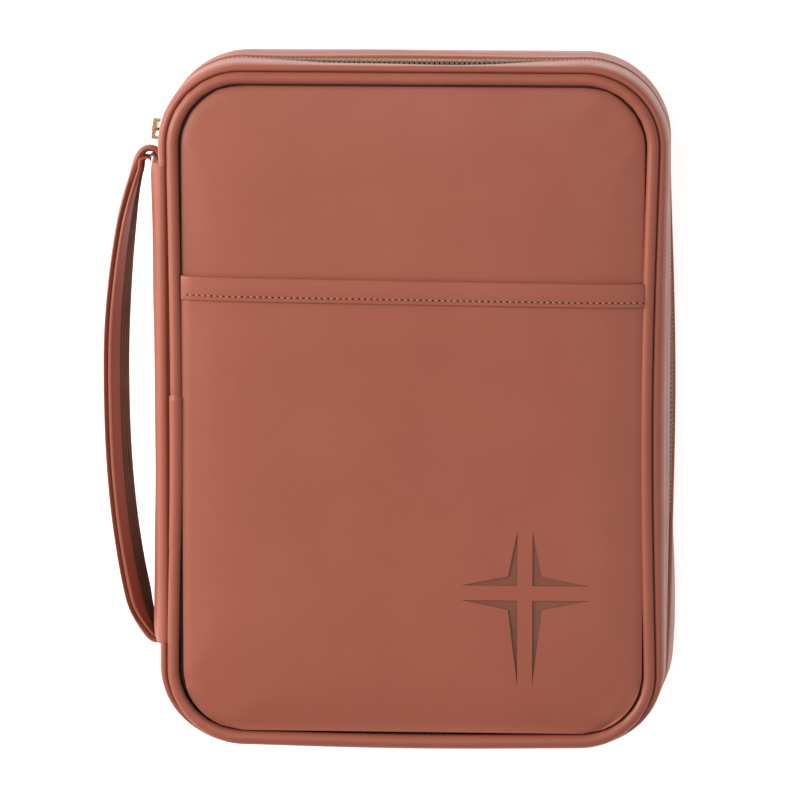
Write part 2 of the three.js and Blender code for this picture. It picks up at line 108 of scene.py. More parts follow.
aim = Vector((-4.5 * MM, 5.0 * MM, THICKNESS))
tilt_to_fore = math.radians(3)
tilt_to_head = math.radians(10)
camera_data = bpy.data.cameras.new("camera")
camera_data.sensor_width = SENSOR
camera_data.lens = SENSOR * CAMERA_DISTANCE / FRAME_WIDTH
camera = add_object("camera", camera_data)
direction = Vector((math.tan(tilt_to_fore), math.tan(tilt_to_head), 1)).normalized()
camera.location = aim + direction * CAMERA_DISTANCE
to_right = Vector((0, 1, 0)).cross(direction).normalized()
to_top = direction.cross(to_right)
camera.rotation_euler = Matrix((to_right, to_top, direction)).transposed().to_euler()
scene.camera = camera
print(f"lens {camera_data.lens:.0f} mm at {CAMERA_DISTANCE} m")

# %% Helper: nodes with their inputs in one call
def add_node(tree, kind, inputs=None, **settings):
    """A node whose settings are properties, and whose inputs are either numbers or sockets to link from."""
    made = tree.nodes.new(kind)
    for name, value in settings.items():
        setattr(made, name, value)
    for name, value in (inputs or {}).items():
        if isinstance(value, bpy.types.NodeSocket):
            tree.links.new(value, made.inputs[name])
        else:
            made.inputs[name].default_value = value
    return made


def calc(tree, operation, *values):
    """The result of a Math node."""
    return add_node(tree, "ShaderNodeMath", dict(enumerate(values)), operation=operation).outputs["Value"]


def stretched(tree, value, **limits):
    """A value spread from its own limits to new ones."""
    limits = {name.replace("_", " "): limit for name, limit in limits.items()}
    return add_node(tree, "ShaderNodeMapRange", {"Value": value, **limits}).outputs["Result"]


def noise(tree, place, scale, detail, **inputs):
    given = {"Vector": place, "Scale": scale, "Detail": detail, **inputs}
    return add_node(tree, "ShaderNodeTexNoise", given).outputs["Fac"]


def wire(tree, node, sockets):
    """Links sockets to the named inputs of a node."""
    for name, socket in sockets.items():
        tree.links.new(socket, node.inputs[name])


def new_material(name, **shader_inputs):
    """An empty material: its tree, and a Principled shader with its constants on its own sockets."""
    material = bpy.data.materials.new(name)
    material.use_nodes = True
    tree = material.node_tree
    tree.nodes.clear()
    shader = add_node(tree, "ShaderNodeBsdfPrincipled")
    for socket, value in shader_inputs.items():
        shader.inputs[socket.replace("_", " ")].default_value = value
    add_node(tree, "ShaderNodeOutputMaterial", {"Surface": shader.outputs["BSDF"]})
    return material, tree, shader


# %% Light and floor
LIGHT_TARGET = Vector((0, 0, 0.03))


def area_light(name, place, size, power, colour=(1, 1, 1)):
    data = bpy.data.lights.new(name, "AREA")
    data.shape = "RECTANGLE"
    data.size, data.size_y = size
    data.energy = power
    data.color = colour
    light = add_object(name, data)
    light.location = place
    light.rotation_euler = (Vector(place) - LIGHT_TARGET).to_track_quat("Z", "Y").to_euler()


area_light("key_light", (-1.0, 0.3, 0.6), (0.6, 0.9), 15.0, (1.0, 0.985, 0.96))
area_light("fill_light", (0.9, -0.4, 1.1), (1.0, 1.0), 2.2, (0.97, 0.985, 1.0))
area_light("top_light", (0.0, 0.5, 1.7), (1.4, 1.0), 5.2)

world = bpy.data.worlds.new("studio")
world.use_nodes = True
surroundings = world.node_tree.nodes["Background"]
surroundings.inputs["Color"].default_value = (1, 1, 1, 1)
surroundings.inputs["Strength"].default_value = 0.36
scene.world = world
scene.view_settings.view_transform = "Standard"

FLOOR_HALF = 3.0
FLOOR_Z = -0.2 * MM
floor_mesh = bpy.data.meshes.new("floor")
floor_corners = [(x * FLOOR_HALF, y * FLOOR_HALF, FLOOR_Z) for x, y in ((-1, -1), (1, -1), (1, 1), (-1, 1))]
floor_mesh.from_pydata(floor_corners, [], [(0, 1, 2, 3)])
floor = add_object("floor", floor_mesh)
floor_material, _, floor_shader = new_material("pale floor", Roughness=0.9)
floor_shader.inputs["Base Color"].default_value = (0.9, 0.9, 0.9, 1)
floor_shader.inputs["Emission Color"].default_value = (1, 1, 1, 1)
floor_shader.inputs["Emission Strength"].default_value = 0.62
floor_mesh.materials.append(floor_material)

# %% [markdown]
# ## Shared effects
#
# Leatherette, woven tape and paper each show at several places, so each effect is one shader group with
# named inputs. A group only gives heights, masks and tones. The shader and its fixed numbers stay in each
# material.

# %% Group: fine pressed grain of leatherette
def group_tree(name, inputs, outputs):
    """A shader group with float or vector inputs, and float outputs."""
    tree = bpy.data.node_groups.new(name, "ShaderNodeTree")
    for label, kind, value in inputs:
        socket = tree.interface.new_socket(label, in_out="INPUT", socket_type=kind)
        if value is not None:
            socket.default_value = value
    for label in outputs:
        tree.interface.new_socket(label, in_out="OUTPUT", socket_type="NodeSocketFloat")
    return tree, tree.nodes.new("NodeGroupInput"), tree.nodes.new("NodeGroupOutput")


def leather_grain_group():
    """Grain is the pressed pebbles' height. Tone drifts slowly over the hide. Polish is where hands rub."""
    tree, given, out = group_tree(
        "leather grain",
        [("Vector", "NodeSocketVector", None), ("Cells per metre", "NodeSocketFloat", 1700.0),
         ("Drift per metre", "NodeSocketFloat", 26.0)],
        ["Grain", "Tone", "Polish"],
    )
    place = given.outputs["Vector"]
    scale = given.outputs["Cells per metre"]
    cells = add_node(tree, "ShaderNodeTexVoronoi", {"Vector": place, "Scale": scale, "Smoothness": 0.35},
                     feature="SMOOTH_F1")
    drift = noise(tree, place, given.outputs["Drift per metre"], 4.0, Roughness=0.55)
    wire(tree, out, {
        "Grain": calc(tree, "ADD", cells.outputs["Distance"], noise(tree, place, scale, 2.0)),
        "Tone": stretched(tree, drift, From_Min=0.3, From_Max=0.7),
        "Polish": stretched(tree, noise(tree, place, 70.0, 5.0), From_Min=0.35, From_Max=0.7),
    })
    return tree


LEATHER_GRAIN = leather_grain_group()

# %% Group: plain weave, for tape, lining and ribbon
def weave_group():
    """Two sets of threads that cross. Height is the cloth's surface, and Tone its shade."""
    tree, given, out = group_tree(
        "plain weave",
        [("Vector", "NodeSocketVector", None), ("Threads per metre", "NodeSocketFloat", 2200.0)],
        ["Height", "Tone"],
    )
    scaled = add_node(tree, "ShaderNodeVectorMath", {0: given.outputs["Vector"]}, operation="SCALE")
    tree.links.new(given.outputs["Threads per metre"], scaled.inputs["Scale"])
    split = add_node(tree, "ShaderNodeSeparateXYZ", {"Vector": scaled.outputs["Vector"]})
    waves = [calc(tree, "SINE", calc(tree, "MULTIPLY", split.outputs[axis], math.pi)) for axis in ("X", "Y")]
    wire(tree, out, {
        "Height": calc(tree, "MULTIPLY_ADD", calc(tree, "MULTIPLY", *waves), 0.5, 0.5),
        "Tone": noise(tree, scaled.outputs["Vector"], 0.7, 2.0),
    })
    return tree


WEAVE = weave_group()

# %% Group: the cut edges of a stack of thin leaves
def leaf_lines_group():
    """Lines lie flat, in the plane of the leaves, and waver a little as thin pages do."""
    tree, given, out = group_tree(
        "leaf lines",
        [("Vector", "NodeSocketVector", None), ("Lines per metre", "NodeSocketFloat", 2600.0)],
        ["Lines", "Tone"],
    )
    stretch = add_node(tree, "ShaderNodeVectorMath", {0: given.outputs["Vector"], 1: (0.012, 0.012, 1.0)},
                       operation="MULTIPLY")
    flat = stretch.outputs["Vector"]
    wire(tree, out, {
        "Lines": noise(tree, flat, given.outputs["Lines per metre"], 1.0),
        "Tone": noise(tree, flat, 330.0, 2.0),
    })
    return tree


LEAF_LINES = leaf_lines_group()
print("shared effects:", [g.name for g in bpy.data.node_groups])

# %% [markdown]
# ## Finishes
#
# The terracotta leatherette has a very fine pressed grain and a satin skin, so its bump is slight and its
# roughness sits near a half. Where the cross was pressed with heat, the skin is browner and duller. The
# strap's inner face is the dark back of the same cloth, drawn into ridges along its length.

# %% Leather finishes
def object_place(tree):
    return tree.nodes.new("ShaderNodeTexCoord").outputs["Object"]


def piece_uv(tree):
    return tree.nodes.new("ShaderNodeTexCoord").outputs["UV"]


def dress(tree, shader, share, dark, light, height, bump, distance):
    """Gives the shader a colour between dark and light by a share, and a bump from a height."""
    colour = add_node(tree, "ShaderNodeMix", {0: share, 6: (*dark, 1), 7: (*light, 1)}, data_type="RGBA")
    relief = add_node(tree, "ShaderNodeBump", {"Height": height, "Strength": bump, "Distance": distance})
    wire(tree, shader, {"Base Color": colour.outputs[2], "Normal": relief.outputs["Normal"]})


def leather(name, dark, light, roughness, cells=1700.0, bump=0.22, **shader_inputs):
    """A leather whose colour drifts from dark to light, with pressed grain in its bump and its gloss."""
    material, tree, shader = new_material(name, **shader_inputs)
    effect = add_node(tree, "ShaderNodeGroup", {"Vector": object_place(tree), "Cells per metre": cells},
                      node_tree=LEATHER_GRAIN)
    gloss = stretched(tree, effect.outputs["Polish"], To_Min=roughness[1], To_Max=roughness[0])
    wire(tree, shader, {"Roughness": gloss})
    dress(tree, shader, effect.outputs["Tone"], dark, light, effect.outputs["Grain"], bump, 0.12 * MM)
    return material


leatherette = leather("terracotta leatherette", (0.340, 0.088, 0.051), (0.366, 0.098, 0.058), (0.40, 0.48),
                      Sheen_Weight=0.03, Sheen_Roughness=0.4, Specular_IOR_Level=0.46)
pressed_leather = leather("heat-pressed leatherette", (0.19, 0.056, 0.029), (0.26, 0.080, 0.042),
                          (0.5, 0.62), cells=2600.0)
strap_backing = leather("strap backing", (0.100, 0.058, 0.034), (0.19, 0.110, 0.064), (0.6, 0.8),
                        cells=900.0, bump=0.5)
bible_leather = leather("bible binding leather", (0.020, 0.010, 0.008), (0.034, 0.016, 0.012), (0.38, 0.52),
                        cells=1100.0, bump=0.6)
print("leathers made")

# %% Woven finishes
def woven(name, dark, light, roughness, threads, place_of, bump=0.5, **shader_inputs):
    material, tree, shader = new_material(name, Roughness=roughness, **shader_inputs)
    effect = add_node(tree, "ShaderNodeGroup", {"Vector": place_of(tree), "Threads per metre": threads},
                      node_tree=WEAVE)
    dress(tree, shader, effect.outputs["Tone"], dark, light, effect.outputs["Height"], bump, 0.2 * MM)
    return material


tape_cloth = woven("zipper tape cloth", (0.42, 0.25, 0.13), (0.58, 0.37, 0.21), 0.85, 2400.0, piece_uv,
                   Sheen_Weight=0.2)
lining_cloth = woven("lining cloth", (0.115, 0.048, 0.034), (0.17, 0.075, 0.052), 0.8, 1900.0, object_place,
                     Sheen_Weight=0.25)
ribbon_satin = woven("ribbon satin", (0.17, 0.010, 0.014), (0.26, 0.020, 0.024), 0.42, 3000.0, object_place,
                     bump=0.25)
print("cloths made")

# %% Thread, coil, brass, board and paper
def speckled(name, dark, light, roughness, scale, bump=0.15, stretch=(1, 1, 1), **shader_inputs):
    """A finish whose colour and surface vary with one noise, which can be stretched into a brushed look."""
    material, tree, shader = new_material(name, Roughness=roughness, **shader_inputs)
    place = add_node(tree, "ShaderNodeVectorMath", {0: object_place(tree), 1: stretch}, operation="MULTIPLY")
    specks = noise(tree, place.outputs["Vector"], scale, 3.0)
    dress(tree, shader, specks, dark, light, specks, bump, 0.1 * MM)
    return material


thread = speckled("sewing thread", (0.44, 0.17, 0.10), (0.62, 0.28, 0.19), 0.6, 4000.0, 0.4)
gold_thread = speckled("zipper sewing thread", (0.38, 0.26, 0.15), (0.62, 0.46, 0.29), 0.55, 4000.0, 0.4)
# The needle holes' near-black is painted shade, standing in for the shade inside each hole.
painted_hole_shade = speckled("needle hole", (0.020, 0.005, 0.003), (0.045, 0.012, 0.007), 0.9, 3000.0)
coil_nylon = speckled("zipper coil nylon", (0.050, 0.024, 0.014), (0.11, 0.055, 0.032), 0.5, 1500.0)
brass = speckled("brushed brass", (0.56, 0.40, 0.19), (0.72, 0.55, 0.30), 0.26, 900.0, 0.12, (1, 1, 0.08),
                 Metallic=1.0)
board = speckled("grey board", (0.33, 0.27, 0.18), (0.44, 0.37, 0.25), 0.9, 700.0, 0.4)


paper, paper_tree, paper_shader = new_material("bible paper", Roughness=0.75)
leaves = add_node(paper_tree, "ShaderNodeGroup", {"Vector": object_place(paper_tree)}, node_tree=LEAF_LINES)
leaf_lines = leaves.outputs["Lines"]
leaf_shade = calc(paper_tree, "ADD", leaf_lines, leaves.outputs["Tone"])
leaf_share = stretched(paper_tree, leaf_shade, From_Min=-0.6, From_Max=1.7)
dress(paper_tree, paper_shader, leaf_share, (0.60, 0.53, 0.40), (0.86, 0.80, 0.67),
      leaf_lines, 0.5, 0.2 * MM)
print("finishes:", len(bpy.data.materials))

# %% [markdown]
# ## The course round the cover
#
# Piping, side walls, tapes and teeth all run round the same rounded rectangle, at different distances out
# from it. One list of marks holds that course: a point on the piping's outer edge, the way out from it, and
# how far along it lies. A section drawn as (distance out, height) is then swept along the marks. A full
# case bulges between its corners, so a mark can also push its section out a little, most at the middle of
# each side.

# %% Marks along the course
class Mark:
    """A place on the course: its point, the way out, and its length along."""

    def __init__(self, x, y, angle, along=0.0):
        self.x, self.y, self.along = x, y, along
        self.out = Vector((math.cos(angle), math.sin(angle), 0))


def course(start_y, end_y, step=2.5 * MM):
    """From start_y on the spine side, by way of the foot, the fore edge and the head, back to end_y."""
    half_pi = math.pi / 2
    marks = []

    def straight(x0, y0, x1, y1, angle):
        count = max(1, round(math.hypot(x1 - x0, y1 - y0) / step))
        for i in range(count):
            share = i / count
            marks.append(Mark(x0 + (x1 - x0) * share, y0 + (y1 - y0) * share, angle))

    def bend(sign_x, sign_y, first):
        count = round(CORNER_RADIUS * half_pi / step)
        for i in range(count):
            angle = first + half_pi * i / count
            x = sign_x * CORNER_X + CORNER_RADIUS * math.cos(angle)
            marks.append(Mark(x, sign_y * CORNER_Y + CORNER_RADIUS * math.sin(angle), angle))

    straight(-HALF_X, start_y, -HALF_X, -CORNER_Y, math.pi)
    bend(-1, -1, math.pi)
    straight(-CORNER_X, -HALF_Y, CORNER_X, -HALF_Y, -half_pi)
    bend(1, -1, -half_pi)
    straight(HALF_X, -CORNER_Y, HALF_X, CORNER_Y, 0)
    bend(1, 1, 0)
    straight(CORNER_X, HALF_Y, -CORNER_X, HALF_Y, half_pi)
    bend(-1, 1, half_pi)
    straight(-HALF_X, CORNER_Y, -HALF_X, end_y, math.pi)
    marks.append(Mark(-HALF_X, end_y, math.pi))
    for before, mark in zip(marks, marks[1:]):
        mark.along = before.along + math.hypot(mark.x - before.x, mark.y - before.y)
    return marks


def hump(share):
    """One in the middle of a side (0), falling softly to zero at its ends (-1 and 1)."""
    return (1 - min(1, share * share)) ** 2


def from_face(half, depth):
    """The height of a depth that is measured in from the front's or the back's own face."""
    return THICKNESS - depth if half == "front" else depth


def push(mark, fore=0.0, spine=0.0, head=0.0, foot=0.0):
    """How far a mark's section is pushed out, given the most for each side."""
    upright = fore * max(0, mark.out.x) + spine * max(0, -mark.out.x)
    across = head * max(0, mark.out.y) + foot * max(0, -mark.out.y)
    return upright * hump(mark.y / HALF_Y) + across * hump(mark.x / HALF_X)


side_course = course(2.5 * MM - SIDE_END, SIDE_END)
face_course = course(0, 0)[:-1]
print(f"side course {len(side_course)} marks, {side_course[-1].along * 1000:.0f} mm")

# %% Helpers: meshes, sharp edges and sweeps
def make_object(name, verts, faces, materials=(), uvs=None, sharp_degrees=40):
    """A mesh object at the origin, with outward faces."""
    mesh = bpy.data.meshes.new(name)
    mesh.from_pydata([tuple(v) for v in verts], [], faces)
    for material in materials:
        mesh.materials.append(material)
    if uvs is not None:
        layer = mesh.uv_layers.new(name="Path")
        for loop in mesh.loops:
            layer.data[loop.index].uv = uvs[loop.vertex_index]
    made = add_object(name, mesh)
    face_outwards(made, sharp_degrees)
    return made


def face_outwards(piece, sharp_degrees):
    """Recalculates the normals, shades the piece smooth, and keeps its real edges sharp."""
    work = bmesh.new()
    work.from_mesh(piece.data)
    bmesh.ops.recalc_face_normals(work, faces=work.faces)
    for face in work.faces:
        face.smooth = True
    limit = math.radians(sharp_degrees)
    for edge in work.edges:
        edge.smooth = len(edge.link_faces) == 2 and edge.calc_face_angle(0) < limit
    work.to_mesh(piece.data)
    work.free()


def ring_faces(count, size):
    """Faces between count rings of size points, one after another, with both ends closed."""
    faces = []
    for i in range(count - 1):
        a, b = i * size, (i + 1) * size
        faces += [(a + k, b + k, b + (k + 1) % size, a + (k + 1) % size) for k in range(size)]
    last = (count - 1) * size
    return faces + [tuple(range(size)), tuple(range(last, last + size))]


def tube(name, rings, finish, uv_of):
    """One closed mesh through rings of points, with its UV map worked out from each point."""
    verts = [point for ring in rings for point in ring]
    uvs = [uv_of(point) for point in verts]
    return make_object(name, verts, ring_faces(len(rings), len(rings[0])), [finish], uvs)


def sweep(name, marks, section, finish):
    """Sweeps a closed section, given as (distance out, height) at each mark, along the course."""
    verts, uvs = [], []
    for mark in marks:
        ring = section(mark)
        verts += [(mark.x + mark.out.x * out, mark.y + mark.out.y * out, height) for out, height in ring]
        uvs += [(mark.along, height) for out, height in ring]
    return make_object(name, verts, ring_faces(len(marks), len(ring)), [finish], uvs)


def set_in(piece, body, slot, *covered):
    """Puts a finished piece on its body, in place of the nodes that it covers. Its slot is not used."""
    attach(piece, body)
    if covered:
        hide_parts(*covered)
    print(piece.name, "on", body, len(piece.data.polygons), "faces")


def band_ring(line, thickness, tip_steps=3):
    """A closed ring round an open line of (out, height) points, with rounded ends, thickness wide."""
    half = thickness / 2
    sides = []
    for k, (out, height) in enumerate(line):
        before = line[max(0, k - 1)]
        after = line[min(len(line) - 1, k + 1)]
        along = Vector((after[0] - before[0], after[1] - before[1])).normalized()
        sides.append((Vector((out, height)), along, Vector((along.y, -along.x))))
    ring = [tuple(point + across * half) for point, along, across in sides]
    turns = [math.pi * k / tip_steps for k in range(1, tip_steps)]
    point, along, across = sides[-1]
    ring += [tuple(point + (across * math.cos(turn) + along * math.sin(turn)) * half) for turn in turns]
    ring += [tuple(point - across * half) for point, along, across in reversed(sides)]
    point, along, across = sides[0]
    ring += [tuple(point - (across * math.cos(turn) + along * math.sin(turn)) * half) for turn in turns]
    return ring


def curve_points(points, per_span=6):
    """A smooth line through given points (Catmull-Rom), in any number of dimensions."""
    line = [Vector(p) for p in points]
    line = [2 * line[0] - line[1], *line, 2 * line[-1] - line[-2]]
    made = []
    for a, b, c, d in zip(line, line[1:], line[2:], line[3:]):
        for step in range(per_span):
            t = step / per_span
            made.append(0.5 * (2 * b + (c - a) * t + (2 * a - 5 * b + 4 * c - d) * t * t
                               + (3 * b - a - 3 * c + d) * t ** 3))
    made.append(line[-2])
    return made


# %% [markdown]
# ## Piping
#
# Piping is a cord wrapped in a strip of the same leatherette, sewn into the seam between a face and its
# side wall. The strip's two ends meet on the spine side, where the lower end is folded over the upper one.
# That splice is thicker for a few centimetres, and the strip puckers a little in the corners. A bead swept
# round the face, with its radius changed along the way, shows all of it.

# %% Piping beads
SPLICE_Y = 6.5 * MM
SPLICE_TUCK = 3 * MM
SPLICE_LENGTH = 60 * MM
BEAD_SIDES = 16
PIPING_BOW = {"fore": -2.3 * MM, "spine": -1.1 * MM, "foot": 1.2 * MM}
BEAD_RADIUS = PIPING_RADIUS - 0.25 * MM


def corner_share(mark):
    """One at the middle of a corner, and zero along the straight sides."""
    return (2 * abs(mark.out.x * mark.out.y)) ** 1.5


def near(place, middle, spread):
    """One at a place given in millimetres, fading to zero a few spreads away."""
    return math.exp(-((place - middle * MM) / (spread * MM)) ** 2)


def bead_shift(mark):
    """How far the bead is pulled away from the pad, which opens the crease beside it."""
    spine_side, fore_side = max(0, -mark.out.x), max(0, mark.out.x)
    sides = (0.35 + 0.9 * near(mark.y, -92, 50)) * MM * spine_side + 0.3 * MM * fore_side
    return sides - 0.2 * MM * max(0, mark.out.y)


def bead_radius(mark):
    """The bead is fuller where the ends overlap, and puckered in the corners."""
    overlap = 0.0
    if mark.out.x < -0.99 and mark.along < SPLICE_LENGTH:
        overlap = 0.32 * MM * (1 - mark.along / SPLICE_LENGTH) + 0.10 * MM
    pucker = 0.07 * MM * corner_share(mark) * math.sin(mark.along / (1.15 * MM))
    return BEAD_RADIUS + overlap + pucker + 0.5 * MM * max(0, -mark.out.y) ** 3


def piping(half, height):
    marks = course(SPLICE_Y, SPLICE_Y - SPLICE_TUCK, 1.6 * MM)
    total = marks[-1].along

    def section(mark):
        radius = bead_radius(mark)
        lip = min(1, (mark.along + 0.25 * MM) / (0.9 * MM))
        tail = min(1, (total - mark.along) / (SPLICE_TUCK + 0.5 * MM))
        radius *= math.sqrt(lip) * (0.8 + 0.2 * tail)
        middle = push(mark, **PIPING_BOW) - PIPING_RADIUS + bead_shift(mark)
        ring = []
        for k in range(BEAD_SIDES):
            turn = 2 * math.pi * k / BEAD_SIDES
            ring.append((middle + radius * math.cos(turn), height + radius * math.sin(turn)))
        return ring

    bead = sweep(f"{half}_piping_bead", marks, section, leatherette)
    set_in(bead, f"{half}_cover", "leatherette", f"{half}_piping")


piping_low, piping_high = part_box("front_piping")
FRONT_PIPING_Z = (piping_low.z + piping_high.z) / 2
piping("front", FRONT_PIPING_Z)
piping("back", THICKNESS - FRONT_PIPING_Z)

# %% [markdown]
# ## Padded faces
#
# Each face is a leatherette skin over a thin foam, held down all round by the piping's seam. Cloth
# simulation gives the way such a pad fills: a thick slab is remeshed, its rim and underside are pinned, and
# a light pressure lifts the rest. Its underside is then squeezed flat to the pad's real depth. The lift is
# capped, because the foam is thin.

# %% Helpers: distance inside the face, and simple smoothing
def inside(x, y):
    """How far a point lies in from the piping's outer edge."""
    across = abs(x) - CORNER_X
    along = abs(y) - CORNER_Y
    outside = math.hypot(max(across, 0), max(along, 0)) + min(max(across, along), 0)
    return CORNER_RADIUS - outside


def plain_mesh(piece, name):
    """The evaluated piece as a new object with a plain mesh. The old object is removed."""
    evaluated = piece.evaluated_get(bpy.context.evaluated_depsgraph_get())
    mesh = bpy.data.meshes.new_from_object(evaluated)
    bpy.data.objects.remove(piece)
    mesh.name = name
    return add_object(name, mesh)


def slab(name, inset, low, high):
    """A flat slab with the face's outline."""
    verts = []
    for height in (low, high):
        verts += [(m.x - m.out.x * inset, m.y - m.out.y * inset, height) for m in face_course]
    count = len(face_course)
    faces = [tuple(range(count)), tuple(range(count, 2 * count))]
    faces += [(k, (k + 1) % count, count + (k + 1) % count, count + k) for k in range(count)]
    return make_object(name, verts, faces, [leatherette])


# %% Filling a pad by cloth simulation
PAD_VOXEL = 3.2 * MM
PAD_DEPTH = 8 * MM
PAD_LIFT = 1.9 * MM
PIN_RIM = 2.0 * MM
CLOTH_FRAMES = 20


def fill_pad(name, inset, top):
    """A slab whose top is lifted by pressure, pinned at its rim and underside."""
    pad = slab(name, inset, top - PAD_DEPTH, top)
    remesh = pad.modifiers.new("remesh", "REMESH")
    remesh.mode = "VOXEL"
    remesh.voxel_size = PAD_VOXEL
    pad = plain_mesh(pad, name)
    rest = [v.co.copy() for v in pad.data.vertices]
    free = [inside(p.x, p.y) - inset > PIN_RIM and p.z > top - PAD_DEPTH / 3 for p in rest]
    pins = pad.vertex_groups.new(name="pins")
    pins.add([k for k, loose in enumerate(free) if not loose], 1.0, "REPLACE")
    cloth = pad.modifiers.new("cloth", "CLOTH")
    cloth.settings.quality = 6
    cloth.settings.mass = 0.3
    cloth.settings.tension_stiffness = 8
    cloth.settings.compression_stiffness = 8
    cloth.settings.bending_stiffness = 0.6
    cloth.settings.use_pressure = True
    cloth.settings.uniform_pressure_force = 4
    cloth.settings.vertex_group_mass = "pins"
    cloth.settings.effector_weights.gravity = 0
    cloth.collision_settings.use_collision = False
    cloth.point_cache.frame_start, cloth.point_cache.frame_end = 1, CLOTH_FRAMES
    for step in range(1, CLOTH_FRAMES + 1):
        scene.frame_set(step)
    pad = plain_mesh(pad, name)
    scene.frame_set(1)
    lifts = [(v.co - p) for v, p in zip(pad.data.vertices, rest)]
    most = max(lift.z for lift in lifts)
    for vertex, start, lift, loose in zip(pad.data.vertices, rest, lifts, free):
        height = PAD_LIFT * math.tanh(1.4 * lift.z / PAD_LIFT)
        vertex.co = start + Vector((0, 0, height if loose else 0))
    print(f"{name}: {len(rest)} points, the pressure lifted it {1000 * most:.1f} mm before the cap")
    return pad


PAD_RIM = 49.6 * MM
PAD_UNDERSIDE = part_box("front_foam_pad")[0].z
master_pad = fill_pad("front_pad", PANEL_INSET, PAD_RIM)

# %% [markdown]
# The front pad is that shape, with its skin rolled down into the seam. The back pad is the same pad turned
# over and pressed flat by the table under the whole case, so that only its rolled rim stays.

# %% The two pads
ROLL = 2.6 * MM
SKIN_DEPTH = 1.4 * MM


def settle(z):
    """Squeezes everything below the skin into the pad's real depth."""
    skin = PAD_RIM - SKIN_DEPTH
    if z > skin:
        return z
    share = (z - (PAD_RIM - PAD_DEPTH)) / (skin - (PAD_RIM - PAD_DEPTH))
    return PAD_UNDERSIDE + share * (skin - PAD_UNDERSIDE)


def roll_down(x, y, inset=PANEL_INSET, width=ROLL, most=0.9 * MM):
    """The drop of the skin beside the seam, which is most at the inset and gone a width further in."""
    share = min(1, max(0, inside(x, y) - inset) / width)
    return most * (1 - math.sqrt(1 - (1 - share) ** 2))


back_pad = add_object("back_pad", master_pad.data.copy())

for vertex in master_pad.data.vertices:
    x, y, z = vertex.co
    lowered = settle(z)
    vertex.co.z = lowered - (roll_down(x, y) if lowered > PAD_RIM - SKIN_DEPTH else 0)

for vertex in back_pad.data.vertices:
    x, y, z = vertex.co
    skin = THICKNESS - settle(z)
    flat = 0.15 * MM + max(0, skin - (THICKNESS - PAD_RIM)) * 0.85
    rolled = roll_down(x, y) * 1.3 if skin < THICKNESS - PAD_RIM + SKIN_DEPTH else 0
    vertex.co.z = flat + rolled

for half, pad in (("front", master_pad), ("back", back_pad)):
    finer = pad.modifiers.new("finer", "SUBSURF")
    finer.levels = finer.render_levels = 1
    made = plain_mesh(pad, pad.name)
    made.data.materials.clear()
    made.data.materials.append(leatherette)
    face_outwards(made, 60)
    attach(made, f"{half}_cover")
    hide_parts(f"{half}_outer_panel", f"{half}_foam_pad")
    print(made.name, len(made.data.polygons), "faces")
front_pad = bpy.data.objects["front_pad"]

# %% [markdown]
# ## Pocket, hem and pressed cross
#
# The pocket panel is a flat piece laid on the pad, so it takes the pad's shape: each of its points is
# dropped onto the pad and raised by the cloth's thickness. The hem is a folded strip along the mouth, a
# little proud, sewn with one row of stitches near its lower edge, and it runs down slightly towards the
# fore edge.

# %% Heights on the pad
pad_tree = BVHTree.FromPolygons([v.co.copy() for v in front_pad.data.vertices],
                                [tuple(p.vertices) for p in front_pad.data.polygons])
PROBE_Z = 0.1


def pad_height(x, y):
    """The pad's skin under a point. Beyond its rim the height at the rim is used."""
    most_x = HALF_X - PANEL_INSET - 1.5 * MM
    spot = Vector((max(-most_x, min(most_x, x)), y, PROBE_Z))
    hit = pad_tree.ray_cast(spot, Vector((0, 0, -1)))[0]
    return hit.z if hit else PAD_RIM


POCKET_CLOTH = 1.1 * MM
LAY = 0.25 * MM
hem_low, hem_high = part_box("pocket_hem")
HEM_TILT = 1.8 * MM


def hem_shift(x):
    """The hem runs down towards the fore edge."""
    return -HEM_TILT * x / (hem_high.x - hem_low.x)


def row_half(y, inset):
    """Half the face's width at y, drawn in by inset."""
    over = max(0, abs(y) - CORNER_Y)
    radius = CORNER_RADIUS - inset
    return CORNER_X + math.sqrt(max(0, radius * radius - over * over))


# %% Pocket panel
POCKET_COLUMNS = 96
POCKET_ROWS = 96
POCKET_INSET = PANEL_INSET + 0.15 * MM


def pocket_skin(x, y):
    return pad_height(x, y) + LAY + POCKET_CLOTH - roll_down(x, y, POCKET_INSET, 2.2 * MM, 0.8 * MM)


def pocket_panel():
    foot = -HALF_Y + POCKET_INSET + 0.02 * MM
    mouth = hem_high.y - 2.5 * MM
    verts, faces = [], []
    for skin in (True, False):
        for r in range(POCKET_ROWS + 1):
            y_share = r / POCKET_ROWS
            y = foot + (mouth - foot) * y_share
            half = row_half(y, POCKET_INSET)
            for c in range(POCKET_COLUMNS + 1):
                x = half * (2 * c / POCKET_COLUMNS - 1)
                top = pocket_skin(x, y + hem_shift(x) * y_share)
                verts.append((x, y + hem_shift(x) * y_share, top if skin else top - POCKET_CLOTH))
    wide = POCKET_COLUMNS + 1
    under = wide * (POCKET_ROWS + 1)
    for r in range(POCKET_ROWS):
        for c in range(POCKET_COLUMNS):
            a = r * wide + c
            faces.append((a, a + 1, a + wide + 1, a + wide))
            faces.append((under + a, under + a + wide, under + a + wide + 1, under + a + 1))
    rim = [*range(wide), *(r * wide + wide - 1 for r in range(1, POCKET_ROWS + 1))]
    rim += [POCKET_ROWS * wide + c for c in range(wide - 2, -1, -1)]
    rim += [r * wide for r in range(POCKET_ROWS - 1, 0, -1)]
    for a, b in zip(rim, rim[1:] + rim[:1]):
        faces.append((a, b, under + b, under + a))
    return make_object("pocket_front", verts, faces, [leatherette])


pocket = pocket_panel()
print("pocket:", len(pocket.data.polygons), "faces")

